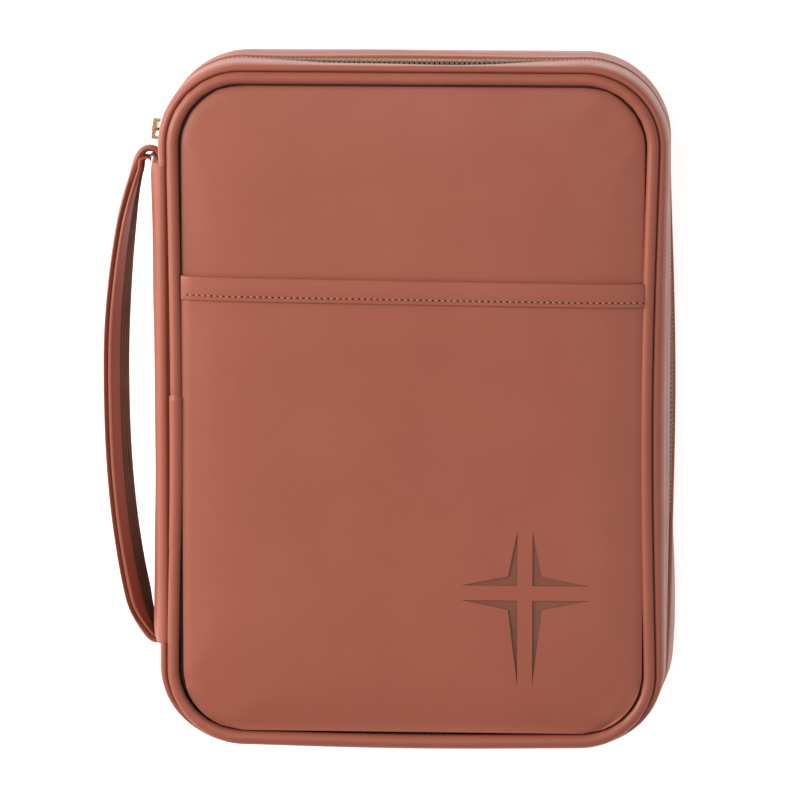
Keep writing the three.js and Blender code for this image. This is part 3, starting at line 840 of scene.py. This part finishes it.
# %% [markdown]
# The cross is pressed into the pocket with a hot die, in four bent wedges that leave a plain cross between
# them. Each wedge is cut out of the panel with a boolean, and its cutter carries the darker finish onto the
# cut faces, so the mark stays crisp at any size. The cutter's floor follows the panel, a fixed depth below
# its skin.

# %% Pressed cross
CROSS_FORE_MARGIN = 50 * MM
CROSS_FOOT_MARGIN = 60.5 * MM
CROSS_BAR = 5.7 * MM
CROSS_SIDE = 24.2 * MM
CROSS_HEAD = 24 * MM
CROSS_FOOT = 36 * MM
CROSS_WEDGE = 3.6 * MM
CROSS_DEPTH = 0.5 * MM
cross_x = HALF_X - CROSS_FORE_MARGIN
cross_y = CROSS_FOOT_MARGIN - HALF_Y


def wedge_cutter(sign_x, sign_y, arm):
    bar = CROSS_BAR / 2
    flat = [(bar, bar), (CROSS_SIDE, bar), (bar + CROSS_WEDGE, bar + CROSS_WEDGE), (bar, arm)]
    places = [(cross_x + sign_x * x, cross_y + sign_y * y) for x, y in flat]
    verts = [(x, y, pocket_skin(x, y) - CROSS_DEPTH) for x, y in places]
    verts += [(x, y, pocket_skin(x, y) + 2 * MM) for x, y in places]
    faces = [(0, 1, 2), (0, 2, 3), (4, 5, 6), (4, 6, 7)]
    faces += [(k, (k + 1) % 4, 4 + (k + 1) % 4, 4 + k) for k in range(4)]
    return make_object("wedge_cutter", verts, faces, [pressed_leather])


for sign_x in (-1, 1):
    for sign_y, arm in ((1, CROSS_HEAD), (-1, CROSS_FOOT)):
        cutter = wedge_cutter(sign_x, sign_y, arm)
        cut = pocket.modifiers.new("pressed wedge", "BOOLEAN")
        cut.operation = "DIFFERENCE"
        cut.solver = "EXACT"
        cut.material_mode = "TRANSFER"
        cut.object = cutter
        pocket = plain_mesh(pocket, "pocket_front")
        bpy.data.objects.remove(cutter)
face_outwards(pocket, 35)
set_in(pocket, "front_cover", "leatherette", "pocket_panel")
print("pocket finishes:", [m.name for m in pocket.data.materials])

# %% Folded hem
HEM_CLOTH = 1.0 * MM
HEM_STEPS = 70


def hem_strip():
    """A folded strip across the mouth: a flattened roll whose underside lies on the pocket."""
    rings = []
    for step in range(HEM_STEPS + 1):
        x = -1 + 2 * step / HEM_STEPS
        x = math.copysign(abs(x) ** 0.9, x) * (HALF_X - POCKET_INSET)
        low = hem_low.y + hem_shift(x)
        high = hem_high.y + hem_shift(x)
        ring = []
        for k in range(11):
            y = low + 0.4 * MM + (high - low - 0.8 * MM) * k / 10
            plump = 0.16 * MM * math.sin(math.pi * k / 10)
            ring.append((y, pocket_skin(x, y) + 0.05 * MM + HEM_CLOTH + plump))
        ring.append((high, pocket_skin(x, high) + 0.1 * MM + HEM_CLOTH * 0.55))
        ring.append((high - 0.3 * MM, pocket_skin(x, high) - 0.6 * MM))
        ring.append((low + 0.3 * MM, pocket_skin(x, low) - 0.1 * MM))
        ring.append((low, pocket_skin(x, low) + HEM_CLOTH * 0.5))
        rings.append([(x, y, z) for y, z in ring])
    return tube("pocket_hem_strip", rings, leatherette, lambda v: (v[0], v[1]))


hem = hem_strip()
set_in(hem, "front_cover", "leatherette", "pocket_hem")

# %% [markdown]
# ## Repeats along a line, with Geometry Nodes
#
# Stitches, needle holes and zipper teeth all repeat along a line at an even pitch. One node tree does that:
# it turns a line of points into a curve, resamples it at the pitch, puts a piece at each point with its X
# along the line and its Z out of the surface, and varies the size a little with a fixed seed. The result is
# realised and made a plain mesh, because instances are dropped on export.

# %% The repeating tree
def repeat_tree():
    tree = bpy.data.node_groups.new("repeat along a line", "GeometryNodeTree")
    for label, kind in (("Geometry", "NodeSocketGeometry"), ("Piece", "NodeSocketObject"),
                        ("Pitch", "NodeSocketFloat"), ("Variation", "NodeSocketFloat"),
                        ("Seed", "NodeSocketInt"), ("Finish", "NodeSocketMaterial")):
        tree.interface.new_socket(label, in_out="INPUT", socket_type=kind)
    tree.interface.new_socket("Geometry", in_out="OUTPUT", socket_type="NodeSocketGeometry")
    given = tree.nodes.new("NodeGroupInput").outputs
    line = add_node(tree, "GeometryNodeMeshToCurve", {"Mesh": given["Geometry"]})
    even = add_node(tree, "GeometryNodeResampleCurve", {"Curve": line.outputs["Curve"],
                                                        "Length": given["Pitch"]}, mode="LENGTH")
    away = add_node(tree, "GeometryNodeInputNamedAttribute", {"Name": "away"}, data_type="FLOAT_VECTOR")
    tangent = tree.nodes.new("GeometryNodeInputTangent")
    lifted = add_node(tree, "FunctionNodeAlignRotationToVector", {"Vector": away.outputs["Attribute"]},
                      axis="Z")
    turned = add_node(tree, "FunctionNodeAlignRotationToVector",
                      {"Rotation": lifted.outputs["Rotation"], "Vector": tangent.outputs["Tangent"]},
                      axis="X", pivot_axis="Z")
    least, most = (calc(tree, way, 1.0, given["Variation"]) for way in ("SUBTRACT", "ADD"))
    size = add_node(tree, "FunctionNodeRandomValue", {2: least, 3: most, "Seed": given["Seed"]},
                    data_type="FLOAT")
    piece = add_node(tree, "GeometryNodeObjectInfo", {"Object": given["Piece"]}, transform_space="ORIGINAL")
    placed = add_node(tree, "GeometryNodeInstanceOnPoints",
                      {"Points": even.outputs["Curve"], "Instance": piece.outputs["Geometry"],
                       "Rotation": turned.outputs["Rotation"], "Scale": size.outputs[1]})
    real = add_node(tree, "GeometryNodeRealizeInstances", {"Geometry": placed.outputs["Instances"]})
    dressed = add_node(tree, "GeometryNodeSetMaterial", {"Geometry": real.outputs["Geometry"],
                                                         "Material": given["Finish"]})
    add_node(tree, "NodeGroupOutput", {"Geometry": dressed.outputs["Geometry"]})
    return tree


REPEAT = repeat_tree()


def repeat(name, line, away, piece, pitch, finish, variation=0.06, seed=7):
    """Repeats a piece along a line of points. away holds the way out of the surface at each point."""
    mesh = bpy.data.meshes.new(name)
    mesh.from_pydata([tuple(p) for p in line], [(k, k + 1) for k in range(len(line) - 1)], [])
    ways = mesh.attributes.new("away", "FLOAT_VECTOR", "POINT")
    for k, way in enumerate(away):
        ways.data[k].vector = way
    carrier = add_object(name, mesh)
    modifier = carrier.modifiers.new("repeat", "NODES")
    modifier.node_group = REPEAT
    values = {"Piece": piece, "Pitch": pitch, "Variation": variation, "Seed": seed, "Finish": finish}
    for item in REPEAT.interface.items_tree:
        if item.in_out == "INPUT" and item.name in values:
            modifier[item.identifier] = values[item.name]
    made = plain_mesh(carrier, name)
    for face in made.data.polygons:
        face.use_smooth = True
    return made


def pattern(name, verts, faces):
    """A small piece to repeat. It isn't part of the object itself."""
    return make_object(name, verts, faces, sharp_degrees=80)


def drop(*patterns):
    """Removes pieces that were only made to be repeated."""
    for piece in patterns:
        bpy.data.objects.remove(piece)


# %% Stitches along the hem
STITCH_PITCH = 2.3 * MM
STITCH_FROM_EDGE = 2.1 * MM
STITCH_LENGTH = 1.35 * MM
THREAD_RADIUS = 0.24 * MM


def circle(sides):
    """The turns of the corners of an even ring."""
    return [2 * math.pi * s / sides for s in range(sides)]


def stitch_pattern(length, thick, sides=6):
    """One stitch: a short thread that rises out of one hole and goes down into the next."""
    verts = []
    for x, z in ((-1 / 2, -0.6), (-1 / 3, 0.5), (0, 0.9), (1 / 3, 0.5), (1 / 2, -0.6)):
        radius = thick * (0.6 + 0.4 * math.sin(math.pi * len(verts) / (4 * sides)))
        verts += [(x * length, radius * math.cos(turn), z * thick + radius * math.sin(turn))
                  for turn in circle(sides)]
    return pattern("stitch_pattern", verts, ring_faces(5, sides))


def hole_pattern(radius, depth, sides=8):
    """A needle hole: a shallow lens. Its near-black finish is painted shade, for the dark inside of the
    hole.
    """
    verts = [(radius * math.cos(turn), 0.8 * radius * math.sin(turn), 0) for turn in circle(sides)]
    verts += [(0, 0, depth), (0, 0, -depth)]
    faces = [(s, (s + 1) % sides, sides) for s in range(sides)]
    faces += [((s + 1) % sides, s, sides + 1) for s in range(sides)]
    return pattern("hole_pattern", verts, faces)


stitch_piece = stitch_pattern(STITCH_LENGTH, THREAD_RADIUS)
hole_piece = hole_pattern(0.42 * MM, 0.10 * MM)

HEM_LINE_STEPS = 89
hem_line = []
for step in range(HEM_LINE_STEPS + 1):
    x = (HALF_X - POCKET_INSET - 1.6 * MM) * (2 * step / HEM_LINE_STEPS - 1)
    y = hem_low.y + hem_shift(x) + STITCH_FROM_EDGE
    hem_line.append(Vector((x, y, pocket_skin(x, y) + HEM_CLOTH + 0.16 * MM)))
up = [Vector((0, 0, 1))] * len(hem_line)
half_stitch = (hem_line[1] - hem_line[0]).normalized() * STITCH_PITCH / 2
holes_line = [p + half_stitch for p in hem_line]
# The holes are near-black lenses: painted shade for the dark inside of each hole.
for row in (repeat("hem_stitches", hem_line, up, stitch_piece, STITCH_PITCH, thread),
            repeat("hem_stitches_holes", holes_line, up, hole_piece, STITCH_PITCH, painted_hole_shade)):
    set_in(row, "front_cover", "leatherette")
print("hem stitches:", round(2 * HALF_X / STITCH_PITCH))

# %% [markdown]
# ## Side walls
#
# The side wall has a front and a back half, with the zipper between them. A full case pushes both halves
# out: each leaves the piping's seam, swells, and comes back to a folded edge beside the zipper. At the fore
# edge the zipper itself rides on the crown of the bulge. At the head and foot it lies in a hollow between
# two soft lips, which open most in the middle. In the corner where the slider runs, the zipper keeps to the
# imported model's radius.

# %% The zipper's lane and the wall's folded edges
LANE_PROUD = 2 * MM
LANE_PUSH = {"fore": 2.1 * MM, "head": -1.9 * MM, "foot": -0.6 * MM}
LANE_LEAN = {"fore": 0.20, "head": 0.30}
WALL_CLOTH = 1.2 * MM
SEAM_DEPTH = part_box("back_gusset")[0].z
EDGE_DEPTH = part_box("back_gusset")[1].z


def lane(mark, z=MIDDLE):
    """How far out the zipper lies at a height. In the middle of a side it leans out at its back half."""
    straight = hump(mark.y / CORNER_Y) if abs(mark.out.x) > 0.999 else hump(mark.x / CORNER_X)
    lean = LANE_LEAN["fore"] * (mark.out.x > 0.999) + LANE_LEAN["head"] * (mark.out.y > 0.999)
    slider_room = 0.25 * MM * near(mark.x, -80, 16) * max(0, mark.out.y)
    return LANE_PROUD + push(mark, **LANE_PUSH) + slider_room + lean * straight * (MIDDLE - z)


def lip_close(mark):
    """How much nearer the zipper the folded edges come in a corner, apart from the slider's corner."""
    slider_corner = mark.out.x < -0.02 and mark.out.y > 0.02
    if slider_corner or mark.out.x < -0.99:
        return 0.0
    return 1.7 * MM * corner_share(mark) ** 0.7 + 0.5 * MM * abs(mark.out.y) * (1 - hump(mark.x / CORNER_X))


def back_sag(mark):
    """The weight of the bible pushes the back half out near the foot of the fore edge."""
    return 3.6 * MM * near(mark.y, -84, 34) * max(0, mark.out.x) ** 2


def swell(mark, half):
    """How far the wall's crown stands out. The front half stays flatter, apart from the fore edge."""
    fore = max(0, mark.out.x) * hump(mark.y / HALF_Y)
    head, foot = max(0, mark.out.y), max(0, -mark.out.y)
    if half == "back":
        return 3.1 * MM + 0.6 * MM * fore + 0.3 * MM * head - 1.2 * MM * foot + back_sag(mark)
    foot_corner = max(0, mark.out.x) * foot * 2
    return 3.1 * MM - 1.8 * MM * head * hump(mark.x / HALF_X) - 2.0 * MM * foot - 1.0 * MM * foot_corner


def wall_line(mark, half):
    """The wall's middle line as (distance out, depth from its own face), from the seam to the folded edge.
    The cloth rises beside the bead before it turns down, which makes the dark crease along the piping."""
    bead = push(mark, **PIPING_BOW) + bead_shift(mark)
    crown = swell(mark, half)
    edge = EDGE_DEPTH + lip_close(mark)
    zipper = lane(mark, from_face(half, edge))
    roll = 1 - 0.95 * max(0, -mark.out.y) ** 2
    if half == "back":
        zipper += 0.3 * back_sag(mark)
        edge += 1.8 * back_sag(mark)
    ripple = 0.18 * MM * math.sin(mark.along / (21 * MM)) + 0.10 * MM * math.sin(mark.along / (8.7 * MM) + 1)
    return [
        (bead - 2.6 * MM, SEAM_DEPTH + 0.3 * MM),
        (bead - 0.9 * MM, SEAM_DEPTH - 0.1 * MM),
        (bead + (1.05 * roll - 0.9) * MM, SEAM_DEPTH - 1.6 * MM * roll),
        (bead + (1.55 * roll - 0.8) * MM, SEAM_DEPTH - 2.95 * MM * roll),
        (bead * 0.8 + (2.1 * roll - 0.4) * MM, SEAM_DEPTH - 2.7 * MM * roll + 0.4 * MM * (1 - roll)),
        (0.62 * crown + bead * 0.45 + 0.7 * MM * roll, SEAM_DEPTH - 0.4 * MM * roll + 1.2 * MM * (1 - roll)),
        (0.80 * crown + bead * 0.3 + 0.3 * MM + ripple, SEAM_DEPTH + 3.2 * MM),
        (0.25 * zipper + 0.80 * crown + ripple, SEAM_DEPTH + 7.2 * MM),
        (0.65 * zipper + 0.40 * crown + ripple * 0.5, edge - 3.2 * MM),
        (zipper + 0.75 * MM, edge - 0.55 * MM),
        (zipper + 0.35 * MM, edge - 0.1 * MM),
    ]


def wall(half):
    def section(mark):
        ring = band_ring(curve_points(wall_line(mark, half), 3), WALL_CLOTH)
        return [(out, from_face(half, depth)) for out, depth in ring]

    made = sweep(f"{half}_side_wall", side_course, section, leatherette)
    set_in(made, f"{half}_cover", "leatherette", f"{half}_gusset")


wall("front")
wall("back")

# %% [markdown]
# ## Zipper
#
# The tape is a woven band on edge behind each wall's folded edge, with the coil sewn along it in a pale
# thread. The coil is nylon wound into even loops, and the loops of the two rows lie in each other's gaps.
# In the corner where the slider runs the loops stay a little short, so that the slider's web passes between
# the rows.

# %% Tapes
TAPE_CLOTH = 0.6 * MM
TAPE_BEND = EDGE_DEPTH - 1.2 * MM


def tape(half):
    low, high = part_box(f"zipper_tape_{half}")
    hidden, open_edge = (high.z, low.z) if half == "front" else (low.z, high.z)
    bend = from_face(half, TAPE_BEND)

    def section(mark):
        line = [(lane(mark) - 2 * MM, hidden), (lane(mark, bend) - 0.15 * MM, bend),
                (lane(mark, open_edge), open_edge)]
        if half == "front":
            line.reverse()
        return band_ring(line, TAPE_CLOTH)

    made = sweep(f"zipper_tape_{half}_cloth", side_course, section, tape_cloth)
    set_in(made, f"{half}_cover", "zipper_tape", f"zipper_tape_{half}")


tape("front")
tape("back")

# %% Coil loops
COIL_PITCH = 1.9 * MM
COIL_WIRE = 0.42 * MM
COIL_ROOT = 2.9 * MM
SEWING_FROM_MIDDLE = 3.25 * MM
TEETH_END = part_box("zipper_stop_upper")[0].y


def coil_loop(name, root, head, sign):
    """One loop of the coil: out of the tape, round its head, and back. Y runs across the tape."""
    sides = 5
    line = curve_points([(-0.42 * MM, root, -0.35 * MM), (-0.38 * MM, root * 0.6 + head * 0.4, 0.1 * MM),
                         (-0.3 * MM, head, 0.15 * MM), (0.0, head - 0.35 * MM, 0.3 * MM),
                         (0.3 * MM, head, 0.35 * MM), (0.38 * MM, root * 0.6 + head * 0.4, 0.4 * MM),
                         (0.42 * MM, root, -0.1 * MM)], 2)
    verts = []
    for k, place in enumerate(line):
        ahead = (line[min(k + 1, len(line) - 1)] - line[max(k - 1, 0)]).normalized()
        across = ahead.cross(Vector((0, 0, 1))).normalized()
        lift = across.cross(ahead)
        verts += [place + (across * math.cos(turn) + lift * math.sin(turn)) * COIL_WIRE
                  for turn in circle(sides)]
    if sign < 0:
        verts = [Vector((v.x, -v.y, v.z)) for v in verts]
    return pattern(name, verts, ring_faces(len(line), sides))


def lane_line(marks, height):
    """The zipper's line at a height."""
    return [Vector((m.x, m.y, height)) + m.out * lane(m, height) for m in marks]


def lane_away(marks):
    """The way out of the leaning tape."""
    ways = []
    for mark in marks:
        lean = (lane(mark, MIDDLE - 1 * MM) - lane(mark, MIDDLE)) / MM
        ways.append(Vector((mark.out.x, mark.out.y, lean)).normalized())
    return ways


def join(name, parts):
    """One mesh from several, all at the origin."""
    merged = bmesh.new()
    for part in parts:
        merged.from_mesh(part.data)
    mesh = bpy.data.meshes.new(name)
    merged.to_mesh(mesh)
    merged.free()
    for material in parts[0].data.materials:
        mesh.materials.append(material)
    drop(*parts)
    return add_object(name, mesh)


row_marks = [m for m in side_course if abs(m.y) < TEETH_END or m.out.x > -0.999]
run = [m for m in row_marks if m.x < -CORNER_X + 1 * MM and m.y > CORNER_Y - 1 * MM]
split = next(k for k, m in enumerate(side_course) if m is run[0])
meshed = [m for m in side_course[:split + 1] if m in row_marks]
print("meshed stretch", len(meshed), "marks, slider's stretch", len(run))

for half, sign in (("front", 1), ("back", -1)):
    shift = 0 if sign > 0 else COIL_PITCH / 2
    full_loop = coil_loop("full_loop", COIL_ROOT, -0.35 * MM, sign)
    short_loop = coil_loop("short_loop", COIL_ROOT, 1.05 * MM, sign)
    parts = []
    for label, marks, loop in (("full", meshed, full_loop), ("short", run, short_loop)):
        line = lane_line(marks, MIDDLE)
        line[0] += (line[1] - line[0]).normalized() * shift
        parts.append(repeat(f"{half}_{label}", line, lane_away(marks), loop, COIL_PITCH, coil_nylon, 0.0))
    rows = join(f"zipper_coil_{half}", parts)
    set_in(rows, f"{half}_cover", "zipper_teeth", f"zipper_teeth_{half}")
    drop(full_loop, short_loop)
    seam_marks = [m for m in side_course if abs(m.y) < SIDE_END or m.out.x > -0.999]
    sewn_line = [p + m.out * (TAPE_CLOTH / 2 + 0.05 * MM)
                 for m, p in zip(seam_marks, lane_line(seam_marks, MIDDLE + sign * SEWING_FROM_MIDDLE))]
    sewing = repeat(f"zipper_sewing_{half}", sewn_line, lane_away(seam_marks), stitch_piece, 1.7 * MM,
                    gold_thread, 0.05)
    set_in(sewing, f"{half}_cover", "zipper_tape")

# %% [markdown]
# ## Spine
#
# The spine panel is one strip of padded leatherette over a board. It bows out between its two folds, laps
# over the ends of the side walls, and is turned under at its ends. Four narrow strips cross the folds
# inside and outside, their sections bent between a cover and the spine.

# %% Spine panel
spine_low, spine_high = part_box("spine_outer_panel")
SPINE_HALF = (spine_high.z - spine_low.z) / 2
SPINE_HEAD_END = SPINE_END + 2.0 * MM
SPINE_FOOT_END = SPINE_END - 0.7 * MM
SPINE_CLOTH = 1.4 * MM
SPINE_STEPS = 72
spine_edge_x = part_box("back_gusset")[0].x


def spine_face(share):
    """How far the spine bows out, from one fold (-1) to the other (1)."""
    return (spine_edge_x - spine_low.x) * (1 - abs(share) ** 2.6)


def spine_panel():
    length = (SPINE_FOOT_END + SPINE_HEAD_END) / 2
    centre = (SPINE_HEAD_END - SPINE_FOOT_END) / 2
    rings = []
    for step in range(SPINE_STEPS + 1):
        y = centre + length * math.sin(math.pi / 2 * (2 * step / SPINE_STEPS - 1))
        to_end = (length - abs(y - centre)) / (7 * MM)
        roll = math.sqrt(1 - (1 - min(1, to_end + 0.05)) ** 2)
        wave = 0.12 * MM * math.sin(y / (17 * MM)) + 0.08 * MM * math.sin(y / (7.3 * MM) + 2)
        line = []
        for k in range(15):
            share = -1 + 2 * k / 14
            bow = spine_face(share) * (0.50 + 0.50 * roll) * (1 - 0.42 * hump(y / HALF_Y))
            bow += wave * (1 - share * share)
            line.append((spine_edge_x - bow + 0.3 * MM, MIDDLE + share * SPINE_HALF))
        rings.append([(x, y, z) for x, z in band_ring(line, SPINE_CLOTH)])
    return tube("spine_panel", rings, leatherette, lambda v: (v[1], v[2]))


spine = spine_panel()
set_in(spine, "spine", "leatherette", "spine_outer_panel")

# %% Strips across the folds
STRIP_STEPS = 24


def strip(half, label, line, ends, thickness, finish):
    """A narrow strip along the spine. Its section bends between a cover and the spine."""
    ring = band_ring(line, thickness)
    stations = [ends[0] + (ends[1] - ends[0]) * step / STRIP_STEPS for step in range(STRIP_STEPS + 1)]
    rings = [[(x, y, z) for x, z in ring] for y in stations]
    made = tube(f"{half}_{label}", rings, finish, lambda v: (v[1], v[2]))
    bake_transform(made)


piping_inner_x = -HALF_X + 1.4 * MM
fold_profile = [(-0.9, 4.2), (-0.8, 1.9), (-0.1, -0.2), (1.3, -1.8), (2.9, -1.9), (4.1, -0.7)]
spine_lining_low, spine_lining_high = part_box("spine_lining")
lining_x = (spine_lining_low.x + spine_lining_high.x) / 2
lining_end = spine_lining_high.y

for half, inwards in (("back", 1), ("front", -1)):
    outside = [(spine_edge_x + x * MM, from_face(half, SEAM_DEPTH + deep * MM)) for x, deep in fold_profile]
    outside.append((piping_inner_x, from_face(half, SEAM_DEPTH - 0.1 * MM)))
    strip(half, "fold_strip", curve_points(outside, 4), (-SPINE_FOOT_END, SPINE_HEAD_END), 0.7 * MM,
          leatherette)
    lining_low, lining_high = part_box(f"{half}_lining")
    lining_z = (lining_low.z + lining_high.z) / 2
    inner = [(lining_low.x + 1.5 * MM, lining_z + inwards * 0.75 * MM),
             (lining_low.x - 1.2 * MM, lining_z + inwards * 0.5 * MM),
             (lining_x + 0.9 * MM, from_face(half, SEAM_DEPTH + 2.6 * MM)),
             (lining_x + 0.65 * MM, from_face(half, SEAM_DEPTH + 6 * MM))]
    strip(half, "fold_lining", curve_points(inner, 5), (-lining_end, lining_end), 0.6 * MM, lining_cloth)
print("spine and its folds made")

# %% [markdown]
# ## Carrying strap
#
# The strap is two folded plies with a filler between them, which shows as a dark line on its edge. It comes
# out from under the spine's upper end, bends over, hangs away in a flat bow and goes back in under the
# lower end. Near the ends the plies are gathered, so they fold lengthwise and crumple, most at the upper
# end. The whole strap leans a little, which turns its dark inner face to the front. The frame's strap ends
# at the two roots. Here each ply runs on into the root, and the part beside the spine bends between the
# spine and the strap.

# %% The strap's course
strap_points = [
    (-97.6, 84.0), (-97.7, 90.5), (-98.4, 94.5), (-100.2, 96.1), (-102.8, 95.6), (-104.8, 92.4),
    (-107.0, 84.5), (-109.8, 71.0), (-112.5, 50.0), (-114.3, 26.0), (-114.6, 2.0), (-113.9, -22.0),
    (-112.1, -44.0),
    (-109.3, -64.0), (-106.5, -77.5), (-104.0, -86.0), (-101.8, -91.0), (-99.8, -92.8), (-98.2, -91.8),
    (-97.6, -88.5), (-97.5, -83.0),
]
strap_line = curve_points([Vector((x * MM, y * MM)) for x, y in strap_points], 7)
strap_lengths = [0.0]
for before, after in zip(strap_line, strap_line[1:]):
    strap_lengths.append(strap_lengths[-1] + (after - before).length)
STRAP_LENGTH = strap_lengths[-1]
print(f"strap {1000 * STRAP_LENGTH:.0f} mm from root to root")

# %% The strap's plies
STRAP_WIDTH = 18 * MM
STRAP_ROOT_WIDTH = 7.6 * MM
STRAP_LEAN = math.radians(19)
GATHER_LENGTH = 34 * MM
BACKING_EDGE = 0.12


def ease(share):
    """A soft step from 0 to 1."""
    share = max(0, min(1, share))
    return share * share * (3 - 2 * share)


def strap_ply(name, offset, thickness, width_share, finish, inner_face=None, flat_steps=12):
    """One ply, swept along the strap's course. offset is how far out its middle lies."""
    verts, uvs, marks = [], [], []
    half_thick = thickness / 2
    ring = [(-1 + 2 * j / flat_steps, 1) for j in range(flat_steps + 1)]
    ring += [(1 - 2 * j / flat_steps, -1) for j in range(flat_steps + 1)]
    for k, place in enumerate(strap_line):
        ahead = (strap_line[min(k + 1, len(strap_line) - 1)] - strap_line[max(k - 1, 0)]).normalized()
        away = Vector((ahead.y, -ahead.x, 0))
        s = strap_lengths[k]
        from_top, from_foot = s / GATHER_LENGTH, (STRAP_LENGTH - s) / (GATHER_LENGTH * 0.8)
        open_share = ease((from_top - 0.45) * 1.1) * ease((from_foot - 0.35) * 1.3)
        half_wide = (STRAP_ROOT_WIDTH + (STRAP_WIDTH - STRAP_ROOT_WIDTH) * open_share) / 2 * width_share
        lean = STRAP_LEAN * ease(0.12 + s / (105 * MM)) * ease((from_foot - 0.1) * 1.4)
        thin = 0.66 + 0.34 * ease(from_top * 1.6) * ease(from_foot * 1.6)
        wide = Vector((0, 0, 1)) * math.cos(lean) + away * math.sin(lean)
        thick = away * math.cos(lean) - Vector((0, 0, 1)) * math.sin(lean)
        if inner_face is None:
            gather = 0.30 * MM * near(s, 22, 9) + 0.2 * MM * near(STRAP_LENGTH - s, 20, 9)
            tuck = 0
        else:
            gather = 0.45 * MM * near(s, 19, 8) + 0.3 * MM * near(STRAP_LENGTH - s, 20, 9)
            tuck = 0.9 * MM * near(s, 19.5, 2.0) - 2.0 * MM * near(s, 14.8, 2.3)
        centre = Vector((place.x, place.y, MIDDLE))
        for across, side in ring:
            edge = min(1, (1 - abs(across)) * half_wide / half_thick)
            rounding = math.sqrt(max(0.0, 1 - (1 - edge) ** 2)) if edge < 1 else 1
            fold = gather * math.cos(across * 7 + s / (6 * MM)) + tuck * (1 + 0.3 * across)
            ridge = 0.11 * MM * math.cos(across * 24) if side < 0 and -0.9 < across < BACKING_EDGE else 0
            height = (side * half_thick * max(0.12, rounding) + offset) * thin + fold + ridge * rounding
            verts.append(centre + wide * (across * half_wide) + thick * height)
            uvs.append((s, across * half_wide + (0.02 if side < 0 else 0)))
            marks.append((across, side))
    made = make_object(name, verts, ring_faces(len(strap_line), len(ring)), [finish], uvs)
    if inner_face is not None:
        made.data.materials.append(inner_face)
        for polygon in made.data.polygons:
            places = [marks[v] for v in polygon.vertices]
            backed = all(side < 0 and -0.9 < across < BACKING_EDGE for across, side in places)
            if len(places) == 4 and backed:
                polygon.material_index = 1
    return made


outer_ply = strap_ply("strap_outer_ply", 1.2 * MM, 1.9 * MM, 1.0, leatherette)
inner_ply = strap_ply("strap_inner_ply", -0.95 * MM, 1.45 * MM, 0.97, leatherette, strap_backing, 44)
filler = strap_ply("strap_filler", 0.03 * MM, 0.6 * MM, 0.88, strap_backing)
for ply, covered, slot_name in (
    (outer_ply, ("handle_outer_ply", "handle_root_upper", "handle_root_lower"), "leatherette"),
    (inner_ply, ("handle_inner_ply",), "handle_lining"),
    (filler, ("handle_core",), "foam"),
):
    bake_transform(ply)
    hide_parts(*covered)
print("strap plies:", len(outer_ply.data.polygons), "faces each")

# %% [markdown]
# ## Brass, linings and the bible
#
# The small hard parts have the right shape in the imported model, so they stay. Each gets its finish and
# most get a fine bevel, because a real edge is never perfectly sharp and only a rounded one catches the
# light.

# %% Finishes and bevels on the imported parts
kept = (
    (brass, 0.25, "zipper_stop_upper zipper_stop_lower slider_bridge pull_ring"),
    (brass, 0.22, "slider_body"),
    (brass, 0.35, "pull_tab"),
    (lining_cloth, 0.2, "back_lining front_lining spine_lining back_sleeve front_sleeve"),
    (board, 0.2, "back_board front_board spine_board"),
    (bible_leather, 0.7, "bible_back_cover bible_front_cover"),
    (bible_leather, 0.5, "bible_spine"),
    (paper, 0.4, "page_block_back page_block_front"),
    (paper, 0.0, "bible_front_endpaper"),
    (ribbon_satin, 0.0, "ribbon_marker"),
    (ribbon_satin, 0.35, "bible_headband_upper bible_headband_lower"),
)


def finish_part(part, finish, bevel_width):
    part.data.materials.clear()
    part.data.materials.append(finish)
    if bevel_width:
        weld = part.modifiers.new("weld", "WELD")
        weld.merge_threshold = 0.01 * MM
        bevel = part.modifiers.new("bevel", "BEVEL")
        bevel.width = bevel_width * MM
        bevel.segments = 3
        bevel.limit_method = "ANGLE"
        bevel.angle_limit = math.radians(30)


for finish, bevel_width, names in kept:
    for name in names.split():
        finish_part(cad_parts[name], finish, bevel_width)
    print(finish.name, "on", names)

# %% Close
drop(stitch_piece, hole_piece)
